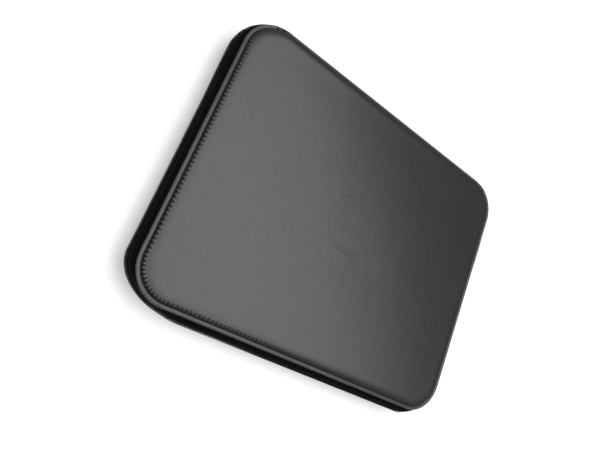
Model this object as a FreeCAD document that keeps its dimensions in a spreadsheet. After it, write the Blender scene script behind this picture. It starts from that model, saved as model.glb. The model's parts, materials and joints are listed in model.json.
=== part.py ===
"""Zip-around organiser case whose front cover is a wireless charging pad.

Frame, in millimetres: the case lies shut on its back cover. +Z is up, out of the front cover, +X runs
from the spine to the fore edge, and +Y runs up the spine. The origin is the middle of the face it rests on.
"""

import FreeCAD, Part
import math
import os

import Sketcher
from FreeCAD import Placement, Rotation, Vector

doc = FreeCAD.newDocument("charging_case")

# ---------------------------------------------------------------------------------------------------------
# Driving dimensions
# ---------------------------------------------------------------------------------------------------------
DIMENSIONS = {
    # the case as a whole
    "cover_width": 207.0,
    "cover_length": 269.0,
    "cover_radius": 26.0,
    "case_height": 30.0,
    # clearances and stock that every part shares
    "fit_gap": 0.1,
    "board_wall": 0.8,
    # one cover, from its outer face inwards
    "rim_width": 3.0,
    "rim_height": 2.0,
    "crown_rise": 3.0,
    "crown_roll": 4.0,
    "skin_wall": 1.0,
    "panel_wall": 1.5,
    "lining_wall": 0.8,
    "panel_inset": 2.0,
    "lining_inset": 3.0,
    # zip
    "tape_wall": 0.6,
    "tape_margin": 7.0,
    "tape_bulge": 4.4,
    "tape_gap": 1.2,
    "tape_end": 116.0,
    "rim_end": 115.0,
    "teeth_depth": 1.1,
    "teeth_height": 2.6,
    "teeth_end": 66.0,
    "stop_offset": 80.0,
    "stop_width": 1.6,
    "stop_height": 1.8,
    # spine and its two folds
    "spine_length": 220.0,
    "spine_stand": 2.0,
    "spine_leather": 1.2,
    "spine_panel": 1.0,
    "fold_height": 3.0,
    "fold_reach": 4.5,
    "fold_wall": 1.2,
    "fold_corner": 2.0,
    # charger in the front cover
    "coil_centre_x": -4.0,
    "coil_centre_y": -4.0,
    "module_width": 66.0,
    "module_length": 104.0,
    "module_height": 5.5,
    "module_radius": 8.0,
    "module_wall": 0.9,
    "module_shift": 19.0,
    "coil_outer": 25.0,
    "coil_inner": 10.5,
    "coil_wall": 1.1,
    "ferrite_side": 54.0,
    "ferrite_wall": 1.0,
    "boss_inset": 5.0,
    "boss_radius": 2.2,
    "boss_floor": 1.6,
    "screw_recess": 0.8,
    "screw_pilot": 0.75,
    "screw_shank": 0.7,
    "screw_head": 1.5,
    # battery pack held on the inside of the front cover
    "pack_width": 44.0,
    "pack_length": 140.0,
    "pack_height": 10.0,
    "pack_radius": 6.0,
    "pack_wall": 1.2,
    "pack_x": -76.0,
    "pack_y": -20.0,
    "pack_gap": 0.2,
    "cell_width": 38.0,
    "cell_length": 104.0,
    "cell_height": 7.0,
    "button_radius": 3.0,
    "button_hole": 3.25,
    "button_y": 20.0,
    "light_radius": 0.8,
    "light_pitch": 5.0,
    "light_rise": 9.0,
    "strap_wall": 0.8,
    "strap_width": 14.0,
    # lead from the charger to the pack
    "lead_radius": 1.4,
    "outlet_x": -26.0,
    "outlet_y": 58.0,
    # pockets
    "pocket_wall": 0.7,
    "card_width": 96.0,
    "card_height": 58.0,
    "card_step": 12.0,
    "pen_radius": 5.4,
    "pen_wall": 0.8,
    "pen_length": 45.0,
    "pen_x": 88.0,
    "pen_y": 52.0,
    # slider
    "slider_x": -72.0,
    "slider_length": 11.0,
    "slider_width": 9.0,
    "slider_plate": 1.1,
    "link_length": 26.0,
    "grip_length": 28.0,
    "grip_width": 8.0,
}

sheet = doc.addObject("Spreadsheet::Sheet", "Dimensions")
for row, (alias, value) in enumerate(DIMENSIONS.items(), start=1):
    sheet.set(f"A{row}", alias)
    sheet.set(f"B{row}", str(value))
    sheet.setAlias(f"B{row}", alias)
doc.recompute()


def dim(alias):
    """A driving dimension as a number, read back from the sheet."""
    return float(sheet.get(alias))


def cells(expression):
    """The expression with every alias written as a reference to the sheet."""
    for alias in sorted(DIMENSIONS, key=len, reverse=True):
        expression = expression.replace(f"[{alias}]", f"Dimensions.{alias}")
    return expression


# Levels, as expressions. Each cover is the other's mirror image about half the height.
FRONT_TAPE_TOP = "[case_height] - [crown_rise] - [rim_height]"
FRONT_PANEL_TOP = FRONT_TAPE_TOP + " - [tape_wall]"
FRONT_LINING_TOP = FRONT_PANEL_TOP + " - [panel_wall]"
FRONT_INSIDE = FRONT_LINING_TOP + " - [lining_wall]"
BACK_RIM = "[crown_rise]"
BACK_TAPE = "[crown_rise] + [rim_height]"
BACK_PANEL = BACK_TAPE + " + [tape_wall]"
BACK_LINING = BACK_PANEL + " + [panel_wall]"
BACK_INSIDE = BACK_LINING + " + [lining_wall]"
PACK_BOTTOM = FRONT_INSIDE + " - [pack_gap] - [pack_height]"
PACK_MIDDLE = PACK_BOTTOM + " + [pack_height] / 2"
MODULE_BOTTOM = FRONT_LINING_TOP
MODULE_X = "[coil_centre_x]"
MODULE_Y = "[coil_centre_y] + [module_shift]"
SPINE_OUTER = "-[cover_width] / 2 - [spine_stand]"
CHAIN_Y = "[cover_length] / 2 + [tape_bulge]"


def level(expression):
    """The value, as a number, of an expression in driving dimensions."""
    for alias, value in DIMENSIONS.items():
        expression = expression.replace(f"[{alias}]", f"({value})")
    return FreeCAD.Units.Quantity(expression).Value


# ---------------------------------------------------------------------------------------------------------
# Small tools for making bodies
# ---------------------------------------------------------------------------------------------------------
def bind(thing, **expressions):
    """Binds properties of a document object to expressions in driving dimensions."""
    for path, expression in expressions.items():
        thing.setExpression(path.replace("__", "."), cells(expression))


def new_body(name, x="0", y="0", z="0"):
    """An empty PartDesign body, named, with its place bound to the sheet."""
    body = doc.addObject("PartDesign::Body", name)
    body.Label = name
    bind(body, Placement__Base__x=x, Placement__Base__y=y, Placement__Base__z=z)
    return body


def new_sketch(body, plane, x="0", y="0", lift="0"):
    """A sketch on one of the body's own origin planes, shifted in and off the plane."""
    sketch = body.newObject("Sketcher::SketchObject", body.Name + "_sketch")
    origin = [f for f in body.Origin.OriginFeatures if f.Role == plane][0]
    sketch.AttachmentSupport = [(origin, "")]
    sketch.MapMode = "FlatFace"
    bind(sketch, AttachmentOffset__Base__x=x, AttachmentOffset__Base__y=y, AttachmentOffset__Base__z=lift)
    return sketch


def name_size(sketch, index, name, expression):
    """Names a sketch's dimension and binds it."""
    sketch.renameConstraint(index, name)
    sketch.setExpression("Constraints." + name, cells(expression))


def draw_rounded(sketch, wide, high, radius):
    """Draws a rounded rectangle about the sketch's origin, fully constrained."""
    w, v, r = level(wide) / 2, level(high) / 2, level(radius)
    first = sketch.GeometryCount
    corners = [(w - r, v - r, 0), (r - w, v - r, 90), (r - w, r - v, 180), (w - r, r - v, 270)]
    for x, y, start in corners:
        circle = Part.Circle(Vector(x, y, 0), Vector(0, 0, 1), r)
        sketch.addGeometry(Part.ArcOfCircle(circle, math.radians(start), math.radians(start + 90)))
    lines = [
        ((w - r, v), (r - w, v)),
        ((-w, v - r), (-w, r - v)),
        ((r - w, -v), (w - r, -v)),
        ((w, r - v), (w, v - r)),
    ]
    for (ax, ay), (bx, by) in lines:
        sketch.addGeometry(Part.LineSegment(Vector(ax, ay, 0), Vector(bx, by, 0)))
    for side in range(4):
        arc, line, following = first + side, first + 4 + side, first + (side + 1) % 4
        sketch.addConstraint(Sketcher.Constraint("Tangent", arc, 2, line, 1))
        sketch.addConstraint(Sketcher.Constraint("Tangent", line, 2, following, 1))
    for arc in range(1, 4):
        sketch.addConstraint(Sketcher.Constraint("Equal", first, first + arc))
    sketch.addConstraint(Sketcher.Constraint("Horizontal", first + 4))
    sketch.addConstraint(Sketcher.Constraint("Symmetric", first, 3, first + 2, 3, -1, 1))
    tag = str(first)
    name_size(sketch, sketch.addConstraint(Sketcher.Constraint("Radius", first, r)), "radius" + tag, radius)
    across = Sketcher.Constraint("DistanceX", first + 5, 1, first + 7, 1, 2 * w)
    name_size(sketch, sketch.addConstraint(across), "wide" + tag, wide)
    along = Sketcher.Constraint("DistanceY", first + 6, 1, first + 4, 1, 2 * v)
    name_size(sketch, sketch.addConstraint(along), "high" + tag, high)


def draw_circle(sketch, radius):
    """Draws a circle about the sketch's origin."""
    index = sketch.addGeometry(Part.Circle(Vector(0, 0, 0), Vector(0, 0, 1), level(radius)))
    sketch.addConstraint(Sketcher.Constraint("Coincident", index, 3, -1, 1))
    size = sketch.addConstraint(Sketcher.Constraint("Radius", index, level(radius)))
    name_size(sketch, size, "radius" + str(index), radius)


def draw_outline(sketch, corners):
    """Draws a closed outline of straight edges through corners given as pairs of expressions."""
    points = [Vector(level(x), level(y), 0) for x, y in corners]
    first = sketch.GeometryCount
    count = len(points)
    for i in range(count):
        sketch.addGeometry(Part.LineSegment(points[i], points[(i + 1) % count]))
    for i in range(count):
        sketch.addConstraint(Sketcher.Constraint("Coincident", first + i, 2, first + (i + 1) % count, 1))
        for axis, value, expression in (("X", points[i].x, corners[i][0]), ("Y", points[i].y, corners[i][1])):
            rule = Sketcher.Constraint("Distance" + axis, -1, 1, first + i, 1, value)
            name_size(sketch, sketch.addConstraint(rule), f"corner{axis}{first + i}", expression)


def pad(body, sketch, length, both_ways=False):
    """Pads a sketch along its normal."""
    feature = body.newObject("PartDesign::Pad", body.Name + "_pad")
    feature.Profile = sketch
    bind(feature, Length=length)
    if both_ways:
        feature.SideType = "Symmetric"
    sketch.Visibility = False
    doc.recompute()
    return feature


def pocket(body, sketch, length, both_ways=False):
    """Cuts a sketch into the body along its normal and makes sure that it cuts."""
    before = body.Shape.Volume
    feature = body.newObject("PartDesign::Pocket", body.Name + "_pocket")
    feature.Profile = sketch
    bind(feature, Length=length)
    if both_ways:
        feature.SideType = "Symmetric"
    else:
        feature.Reversed = True
    doc.recompute()
    if body.Shape.Volume > before - 1e-6:
        raise RuntimeError(f"{body.Name}: a pocket cut nothing")
    return feature


def edges_where(feature, test):
    """The names of a feature's edges whose every vertex and middle pass a test of x, y and z."""
    names = []
    for index, edge in enumerate(feature.Shape.Edges, start=1):
        middle = edge.valueAt((edge.FirstParameter + edge.LastParameter) / 2)
        points = [vertex.Point for vertex in edge.Vertexes] + [middle]
        if all(test(p.x, p.y, p.z) for p in points):
            names.append(f"Edge{index}")
    return names


def roll(body, feature, test, radius):
    """Fillets the edges that pass a test."""
    names = edges_where(feature, test)
    if not names:
        raise RuntimeError(f"{body.Name}: no edge to round")
    fillet = body.newObject("PartDesign::Fillet", body.Name + "_fillet")
    fillet.Base = (feature, names)
    bind(fillet, Radius=radius)
    doc.recompute()
    if "Invalid" in fillet.State:
        raise RuntimeError(f"{body.Name}: an edge could not be rounded")
    return fillet


def near(value, wanted, slack=0.01):
    """True if two sizes are the same."""
    return abs(value - wanted) < slack


def plate(name, wide, high, radius, thick, x="0", y="0", z="0"):
    """A flat plate with rounded corners, its underside at z."""
    body = new_body(name, x, y, z)
    sketch = new_sketch(body, "XY_Plane")
    draw_rounded(sketch, wide, high, radius)
    pad(body, sketch, thick)
    return body


def window(body, wide, high, radius, deep, x="0", y="0", lift="0"):
    """Cuts a rounded window upwards from a height above the body's underside."""
    sketch = new_sketch(body, "XY_Plane", x, y, lift)
    draw_rounded(sketch, wide, high, radius)
    return pocket(body, sketch, deep)


def hole(body, radius, deep, x="0", y="0", lift="0"):
    """Cuts a round hole upwards from a height above the body's underside."""
    sketch = new_sketch(body, "XY_Plane", x, y, lift)
    draw_circle(sketch, radius)
    return pocket(body, sketch, deep)


def post(body, radius, tall, x="0", y="0", lift="0"):
    """Adds a round post upwards from a height above the body's underside."""
    sketch = new_sketch(body, "XY_Plane", x, y, lift)
    draw_circle(sketch, radius)
    return pad(body, sketch, tall)


def slab(name, outline, tall, radius, z, rolled_above):
    """A rounded slab with the edge round its top, or round its underside, rolled over."""
    body = new_body(name, z=z)
    sketch = new_sketch(body, "XY_Plane")
    draw_rounded(sketch, *outline)
    block = pad(body, sketch, tall)
    rolled = level(tall) if rolled_above else 0.0
    roll(body, block, lambda x, y, zz: near(zz, rolled), radius)
    return body


def inset(amount):
    """Width, length and corner radius of the cover's outline drawn in by an amount."""
    return (
        f"[cover_width] - 2 * ({amount})",
        f"[cover_length] - 2 * ({amount})",
        f"[cover_radius] - ({amount})",
    )


def cut_spine_side(body, end, deep, lift="0"):
    """Cuts a ring round the cover open along the spine, between the two ends given."""
    wide = "[cover_radius] + 20"
    sketch = new_sketch(body, "XY_Plane", "-[cover_width] / 2 - 20 + ([cover_radius] + 20) / 2", "0", lift)
    draw_rounded(sketch, wide, f"2 * ({end})", "0.5")
    return pocket(body, sketch, deep)


def primitive(kind, name, x, y, z, **sizes):
    """A Part primitive, its place and its sizes bound to the sheet."""
    thing = doc.addObject("Part::" + kind, name)
    bind(thing, Placement__Base__x=x, Placement__Base__y=y, Placement__Base__z=z, **sizes)
    return thing


def box(name, x, y, z, wide, high, tall):
    """A box that starts at its lowest corner."""
    return primitive("Box", name, x, y, z, Length=wide, Width=high, Height=tall)


def join(kind, name, **links):
    """A boolean or compound of document objects, labelled as a sub-part."""
    thing = doc.addObject("Part::" + kind, name)
    thing.Label = name
    for link, value in links.items():
        setattr(thing, link, value)
    doc.recompute()
    return thing


# ---------------------------------------------------------------------------------------------------------
# Covers: leather skin, padding, stiffener, lining and edge binding
# ---------------------------------------------------------------------------------------------------------
def cover_skin(name, z, outer_is_up):
    """The crowned leather skin of a cover: a shallow tray whose open side faces the stiffener."""
    deep = "[crown_rise] + [rim_height] - [skin_wall]"
    outer_height = deep + " + [skin_wall]"
    block = slab(name + "_block", inset("[rim_width]"), outer_height, "[crown_roll]", z, outer_is_up)
    start = z if outer_is_up else z + " + [skin_wall]"
    hollow = slab(name + "_hollow", inset("[rim_width] + [skin_wall]"), deep, "[crown_roll] - [skin_wall]",
                  start, outer_is_up)
    join("Cut", name, Base=block, Tool=hollow)


def cover_padding(name, z, outer_is_up):
    """Foam that fills the skin, with a step that fits inside the zip tape's sewn margin."""
    deep = "[crown_rise] + [rim_height] - [skin_wall]"
    start = z + " + [tape_wall]" if outer_is_up else z
    foam = slab(name, inset("[rim_width] + [skin_wall] + [fit_gap]"), deep, "[crown_roll] - [skin_wall]",
                start, outer_is_up)
    step = new_sketch(foam, "XY_Plane", lift="-[tape_wall]" if outer_is_up else deep)
    draw_rounded(step, *inset("[tape_margin] + [fit_gap]"))
    pad(foam, step, "[tape_wall]")
    return foam


def edge_binding(name, z):
    """The turned leather edge round three sides of a cover, which stops short of the spine."""
    body = plate(name, *inset("0"), "[rim_height]", z=z)
    window(body, *inset("[rim_width]"), "[rim_height]")
    cut_spine_side(body, "[rim_end]", "[rim_height]")
    return body


def build_covers():
    cover_skin("front_cover_skin", FRONT_TAPE_TOP, True)
    cover_skin("back_cover_skin", "0", False)

    front_foam = cover_padding("front_padding", FRONT_PANEL_TOP, True)
    window(front_foam, "[module_width] + 1", "[module_length] + 1", "[module_radius]",
           "[module_height] - [panel_wall] + [fit_gap]", MODULE_X, MODULE_Y, "-[tape_wall]")
    cover_padding("back_padding", "[skin_wall]", False)

    front_board = plate("front_board", *inset("[panel_inset]"), "[panel_wall]", z=FRONT_LINING_TOP)
    window(front_board, "[module_width] + 0.6", "[module_length] + 0.6", "[module_radius]",
           "[panel_wall]", MODULE_X, MODULE_Y)
    plate("back_board", *inset("[panel_inset]"), "[panel_wall]", z=BACK_PANEL)

    front_lining = plate("front_lining", *inset("[lining_inset]"), "[lining_wall]", z=FRONT_INSIDE)
    hole(front_lining, "2.8", "[lining_wall]", "[outlet_x]", "[outlet_y]")
    plate("back_lining", *inset("[lining_inset]"), "[lining_wall]", z=BACK_LINING)

    edge_binding("front_edge_binding", FRONT_TAPE_TOP)
    edge_binding("back_edge_binding", BACK_RIM)


# ---------------------------------------------------------------------------------------------------------
# Zip: two tapes that bulge out from under the bindings, their rows of teeth, and end stops
# ---------------------------------------------------------------------------------------------------------
def zip_tape(name, z, sewn_above):
    """Half of the zip tape: flat under the binding, round the bulge, then straight to the teeth."""
    tall = "[case_height] / 2 - [crown_rise] - [rim_height] - [tape_gap] / 2"
    block = slab(name + "_block", inset("-[tape_bulge]"), tall, "[tape_bulge]", z, sewn_above)
    window(block, *inset("[tape_margin]"), tall)
    cut_spine_side(block, "[tape_end]", tall)
    start = z if sewn_above else z + " + [tape_wall]"
    hollow = slab(name + "_hollow", inset("-[tape_bulge] + [tape_wall]"), tall + " - [tape_wall]",
                  "[tape_bulge] - [tape_wall]", start, sewn_above)
    join("Cut", name, Base=block, Tool=hollow)


def zip_teeth(name, z):
    """One row of teeth on the outer face of a tape, from the spine's lower end to the closed slider."""
    body = plate(name, *inset("-[tape_bulge] - [teeth_depth]"), "[teeth_height]", z=z)
    window(body, *inset("-[tape_bulge]"), "[teeth_height]")
    cut_spine_side(body, "[tape_end] + 6", "[teeth_height]")
    end = new_sketch(body, "XY_Plane", "-[teeth_end] - 30", CHAIN_Y)
    draw_rounded(end, "60", "60", "0.5")
    pocket(body, end, "[teeth_height]")
    return body


def build_zip():
    front_edge = "[case_height] / 2 + [tape_gap] / 2"
    back_edge = "[case_height] / 2 - [tape_gap] / 2"
    zip_tape("front_zip_tape", front_edge, True)
    zip_tape("back_zip_tape", BACK_TAPE, False)
    zip_teeth("front_zip_teeth", front_edge)
    zip_teeth("back_zip_teeth", back_edge + " - [teeth_height]")
    stop_y = CHAIN_Y + " + [teeth_depth] / 2"
    for name, z in (("front_top_stop", front_edge), ("back_top_stop", back_edge + " - [stop_height]")):
        body = plate(name, "[stop_width]", "[teeth_depth]", "0.3", "[stop_height]", "-[stop_offset]", stop_y, z)
        body.Label = name


# ---------------------------------------------------------------------------------------------------------
# Spine: a stiff strip between two leather folds
# ---------------------------------------------------------------------------------------------------------
def spine_strip(name, x, thick):
    """A strip of the spine, standing between the two folds."""
    low = "[fold_height] + 1.5"
    body = new_body(name, x=x, z=low)
    sketch = new_sketch(body, "XZ_Plane")
    tall = f"[case_height] - 2 * ({low})"
    draw_outline(sketch, [("0", "0"), (thick, "0"), (thick, tall), ("0", tall)])
    pad(body, sketch, "[spine_length]", both_ways=True)
    return body


def fold_leather(name, z, upper):
    """The leather that turns from a cover into the spine, as a quarter bend with a straight lead-in."""
    body = new_body(name, x=SPINE_OUTER, z=z)
    sketch = new_sketch(body, "XZ_Plane")
    side = "" if upper else "-"
    lead_in = "[rim_width] + [spine_stand]"
    corners = [
        ("0", "0"),
        ("0", f"{side}([fold_reach] - [fold_corner])"),
        ("[fold_corner]", f"{side}[fold_reach]"),
        (lead_in, f"{side}[fold_reach]"),
        (lead_in, f"{side}([fold_reach] - [fold_wall])"),
        ("[fold_corner] + [fold_wall] / 2", f"{side}([fold_reach] - [fold_wall])"),
        ("[fold_wall]", f"{side}([fold_reach] - [fold_corner] - [fold_wall] / 2)"),
        ("[fold_wall]", "0"),
    ]
    draw_outline(sketch, corners)
    pad(body, sketch, "[spine_length]", both_ways=True)
    return body


def build_spine():
    spine_strip("spine_skin", SPINE_OUTER, "[spine_leather]")
    board_x = SPINE_OUTER + " + [spine_leather] + [fit_gap]"
    spine_strip("spine_board", board_x, "[spine_panel]")
    spine_strip("spine_lining", board_x + " + [spine_panel] + [fit_gap]", "[lining_wall] - [fit_gap]")
    fold_leather("front_fold_leather", "[case_height] - [fold_height] - 1.5", True)
    fold_leather("back_fold_leather", "[fold_height] + 1.5", False)


# ---------------------------------------------------------------------------------------------------------
# Charger module, sunk in the front cover's padding
# ---------------------------------------------------------------------------------------------------------
def corner_places():
    """The four screw bosses, as expressions about the module's middle."""
    x = "[module_width] / 2 - [boss_inset]"
    y = "[module_length] / 2 - [boss_inset]"
    return [(f"{sx}({x})", f"{sy}({y})") for sx in ("", "-") for sy in ("", "-")]


def build_charger():
    split = 2.5
    base = plate("charger_base_shell", "[module_width]", "[module_length]", "[module_radius]", str(split),
                 MODULE_X, MODULE_Y, MODULE_BOTTOM)
    inner = ("[module_width] - 2 * [module_wall]", "[module_length] - 2 * [module_wall]",
             "[module_radius] - [module_wall]")
    window(base, *inner, f"{split} - [module_wall]", lift="[module_wall]")
    for x, y in corner_places():
        post(base, "[boss_radius] + 0.3", "[boss_floor]", x, y)
        hole(base, "[screw_shank] + 0.2", "[boss_floor]", x, y)
        hole(base, "[screw_head] + 0.2", "[screw_recess]", x, y)
    hole(base, "2.8", "[module_wall]", f"[outlet_x] - ({MODULE_X})", f"[outlet_y] - ({MODULE_Y})")

    top_tall = f"[module_height] - {split}"
    top = plate("charger_top_shell", "[module_width]", "[module_length]", "[module_radius]", top_tall,
                MODULE_X, MODULE_Y, f"{MODULE_BOTTOM} + {split}")
    window(top, *inner, f"{top_tall} - [module_wall]")
    for x, y in corner_places():
        post(top, "[boss_radius]", "[module_height] - [module_wall] - [boss_floor]", x, y,
             f"[boss_floor] - {split}")
        hole(top, "[screw_pilot]", "3", x, y, f"[boss_floor] - {split}")

    screw_parts = []
    for index, (x, y) in enumerate(corner_places(), start=1):
        place = (f"{MODULE_X} + {x}", f"{MODULE_Y} + {y}")
        shank = primitive("Cylinder", f"screw_shank_{index}", *place, f"{MODULE_BOTTOM} + 0.1",
                          Radius="[screw_shank]", Height="4")
        head = primitive("Cylinder", f"screw_head_{index}", *place, f"{MODULE_BOTTOM} + 0.1",
                         Radius="[screw_head]", Height="[screw_recess] - [fit_gap]")
        screw_parts.append(join("Fuse", f"screw_{index}", Base=head, Tool=shank))
    join("Compound", "charger_screws", Links=screw_parts)

    coil_z = f"{MODULE_BOTTOM} + [module_height] - [module_wall] - [coil_wall]"
    wind_coil(coil_z)
    plate("ferrite_plate", "[ferrite_side]", "[ferrite_side]", "3", "[ferrite_wall]",
          MODULE_X, "[coil_centre_y]", f"{coil_z} - [ferrite_wall]")
    build_charger_board()


def wind_coil(z):
    """The transmitter coil: rings of round wire side by side, as one turned body."""
    turns = 13
    body = new_body("charging_coil", MODULE_X, "[coil_centre_y]", z)
    sketch = new_sketch(body, "XZ_Plane")
    inner, outer, tall = dim("coil_inner"), dim("coil_outer"), dim("coil_wall")
    pitch = (outer - inner) / turns
    crest, waist = tall, tall * 0.72
    edges = []
    top = Vector(inner, waist, 0)
    for turn in range(turns):
        start = inner + pitch * turn
        following = Vector(start + pitch, waist, 0)
        middle = Vector(start + pitch / 2, crest, 0)
        edges.append(Part.Arc(top, middle, following))
        top = following
    edges.append(Part.LineSegment(Vector(outer, waist, 0), Vector(outer, 0, 0)))
    edges.append(Part.LineSegment(Vector(outer, 0, 0), Vector(inner, 0, 0)))
    edges.append(Part.LineSegment(Vector(inner, 0, 0), Vector(inner, waist, 0)))
    for edge in edges:
        sketch.addGeometry(edge)
    turned = body.newObject("PartDesign::Revolution", "charging_coil_turned")
    turned.Profile = sketch
    turned.ReferenceAxis = (sketch, ["V_Axis"])
    turned.Angle = 360
    doc.recompute()


def build_charger_board():
    """The charger's circuit board and the parts on it, beside the coil."""
    gap = "[ferrite_side] / 2 + 1.5"
    length = f"[module_length] / 2 + [module_shift] - [module_wall] - ({gap}) - 1"
    middle = f"[coil_centre_y] + {gap} + ({length}) / 2"
    board_z = f"{MODULE_BOTTOM} + [module_wall] + 0.5"
    board = plate("charger_board", "[module_width] - 2 * [module_wall] - 14", length, "1", "[board_wall]",
                  MODULE_X, middle, board_z)
    hole(board, "1.4", "[board_wall]", f"[outlet_x] - ({MODULE_X})", f"[outlet_y] - ({middle})")
    pieces = [
        ("controller_chip", -4, 2, 6, 6, 0.9),
        ("driver_chip", 7, 3, 5, 5, 0.9),
        ("tank_capacitor_1", -14, -9, 3.2, 2.5, 1.6),
        ("tank_capacitor_2", -8, -9, 3.2, 2.5, 1.6),
        ("tank_capacitor_3", -2, -9, 3.2, 2.5, 1.6),
        ("input_inductor", 9, -8, 6, 6, 1.9),
        ("crystal", 16, 4, 3.2, 2.5, 0.8),
    ]
    made = []
    for name, x, y, wide, high, tall in pieces:
        made.append(box(name, f"{MODULE_X} + {x} - {wide} / 2", f"{middle} + {y} - {high} / 2",
                        f"{board_z} + [board_wall]", str(wide), str(high), str(tall)))
    join("Compound", "charger_components", Links=made)


# ---------------------------------------------------------------------------------------------------------
# Battery pack, held by two elastic straps on the front cover's lining
# ---------------------------------------------------------------------------------------------------------
def build_pack():
    half = "[pack_height] / 2"
    outline = ("[pack_width]", "[pack_length]", "[pack_radius]")
    inner = (
        "[pack_width] - 2 * [pack_wall]",
        "[pack_length] - 2 * [pack_wall]",
        "[pack_radius] - [pack_wall]",
    )
    roll_size = "2.2"

    lid = new_body("battery_pack_lid", "[pack_x]", "[pack_y]", PACK_BOTTOM)
    sketch = new_sketch(lid, "XY_Plane")
    draw_rounded(sketch, *outline)
    block = pad(lid, sketch, half)
    roll(lid, block, lambda x, y, z: near(z, 0), roll_size)
    window(lid, *inner, f"{half} - [pack_wall]", lift="[pack_wall]")
    hole(lid, "[button_hole]", "[pack_wall]", "0", f"[button_y] - [pack_y]")
    for index in range(4):
        hole(lid, "[light_radius] + 0.05", "[pack_wall]", f"{light_offset(index)}",
             "[button_y] - [pack_y] + [light_rise]")

    tray = new_body("battery_pack_tray", "[pack_x]", "[pack_y]", PACK_MIDDLE)
    sketch = new_sketch(tray, "XY_Plane")
    draw_rounded(sketch, *outline)
    block = pad(tray, sketch, half)
    roll(tray, block, lambda x, y, z: near(z, level(half)), roll_size)
    window(tray, *inner, f"{half} - [pack_wall]")

    for body, low in ((lid, PACK_BOTTOM), (tray, PACK_MIDDLE)):
        cut_socket(body, low, SOCKET_A)
        cut_socket(body, low, SOCKET_C)

    build_sockets()
    plate("battery_cell", "[cell_width]", "[cell_length]", "2", "[cell_height]",
          "[pack_x]", "[pack_y] - [pack_length] / 2 + [pack_wall] + 1 + [cell_length] / 2",
          f"{PACK_BOTTOM} + ([pack_height] - [cell_height]) / 2")
    plate("battery_board", "[pack_width] - 2 * [pack_wall] - 2", "30", "5", "[board_wall]",
          "[pack_x]", "[pack_y] + [pack_length] / 2 - [pack_wall] - 15.6",
          f"{PACK_BOTTOM} + [pack_height] - [pack_wall] - 0.9")
    build_button()
    for name, y in (("battery_strap_lower", "[pack_y] - 46"), ("battery_strap_upper", "[pack_y] + 8")):
        elastic_strap(name, y)


SOCKET_A = {"x": 0.0, "wide": 13.2, "tall": 5.8, "deep": 14.0, "mouth_wide": 12.4, "mouth_tall": 5.0,
            "z": -2.9}
SOCKET_C = {"x": 14.5, "wide": 9.0, "tall": 3.3, "deep": 7.6, "mouth_wide": 8.4, "mouth_tall": 2.7, "z": -0.4}


def light_offset(index):
    """Where a status light sits across the pack, from its middle."""
    return f"([light_pitch] * {index - 1.5})"


def cut_socket(body, low, socket):
    """Cuts this half's share of the opening for a socket through the pack's +Y end wall."""
    middle = f"{PACK_MIDDLE} - ({low}) + {socket['z']} + {socket['tall']} / 2"
    sketch = new_sketch(body, "XZ_Plane", str(socket["x"]), middle, "-([pack_length] / 2 + 1)")
    draw_rounded(sketch, f"{socket['wide']} + 0.2", f"{socket['tall']} + 0.2", "0.6")
    pocket(body, sketch, "[pack_wall] + 2")


def build_sockets():
    """The two sockets: metal shells with a tongue, open towards +Y."""
    end = "[pack_y] + [pack_length] / 2"
    for name, socket, tongue in (("usb_a_socket", SOCKET_A, 1.4), ("usb_c_socket", SOCKET_C, 0.7)):
        x = f"[pack_x] + {socket['x']}"
        z = f"{PACK_MIDDLE} + {socket['z']}"
        wall_x = (socket["wide"] - socket["mouth_wide"]) / 2
        wall_z = (socket["tall"] - socket["mouth_tall"]) / 2
        shell = box(name + "_shell", f"{x} - {socket['wide']} / 2", f"{end} - {socket['deep']} - 0.1", z,
                    str(socket["wide"]), str(socket["deep"]), str(socket["tall"]))
        mouth = box(name + "_mouth", f"{x} - {socket['mouth_wide']} / 2", f"{end} - {socket['deep']} + 0.7",
                    f"{z} + {wall_z}", str(socket["mouth_wide"]), str(socket["deep"]),
                    str(socket["mouth_tall"]))
        hollow = join("Cut", name + "_hollow", Base=shell, Tool=mouth)
        lift = 0.75 if name == "usb_a_socket" else (socket["mouth_tall"] - tongue) / 2
        leaf_wide = socket["mouth_wide"] - 1.6
        leaf = box(name + "_tongue", f"{x} - {leaf_wide} / 2", f"{end} - {socket['deep']} + 0.5",
                   f"{z} + {wall_z + lift}", str(leaf_wide), str(socket["deep"] - 2.5), str(tongue))
        join("Fuse", name, Base=hollow, Tool=leaf)


def build_button():
    """The pack's button, its switch and other parts on the board, and the status lights."""
    face = PACK_BOTTOM
    cap = new_body("power_button", "[pack_x]", "[button_y]", f"{face} - 0.4")
    post(cap, "[button_radius]", "0.4 + [pack_wall] + [fit_gap]")
    post(cap, "[button_radius] + 0.7", "0.6", lift="0.4 + [pack_wall] + 0.05")
    post(cap, "1.5", "1.4", lift="1 + [pack_wall]")

    board_face = f"{PACK_BOTTOM} + [pack_height] - [pack_wall] - 0.9"
    pieces = [
        ("button_switch", 0.0, 0.0, 6.0, 6.0, 4.0),
        ("charge_chip", -12.0, 2.0, 5.0, 5.0, 0.9),
        ("boost_chip", 12.0, 4.0, 5.0, 5.0, 0.9),
        ("boost_inductor", -12.0, 12.0, 7.0, 7.0, 3.0),
    ]
    made = []
    for name, x, y, wide, high, tall in pieces:
        made.append(box(name, f"[pack_x] + {x} - {wide} / 2", f"[button_y] + {y} - {high} / 2",
                        f"{board_face} - {tall}", str(wide), str(high), str(tall)))
    join("Compound", "battery_components", Links=made)

    lights = []
    for index in range(4):
        lights.append(primitive("Cylinder", f"light_pipe_{index + 1}", f"[pack_x] + {light_offset(index)}",
                                "[button_y] + [light_rise]", face,
                                Radius="[light_radius]", Height="[pack_wall] + 1.8"))
    join("Compound", "status_lights", Links=lights)


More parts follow.
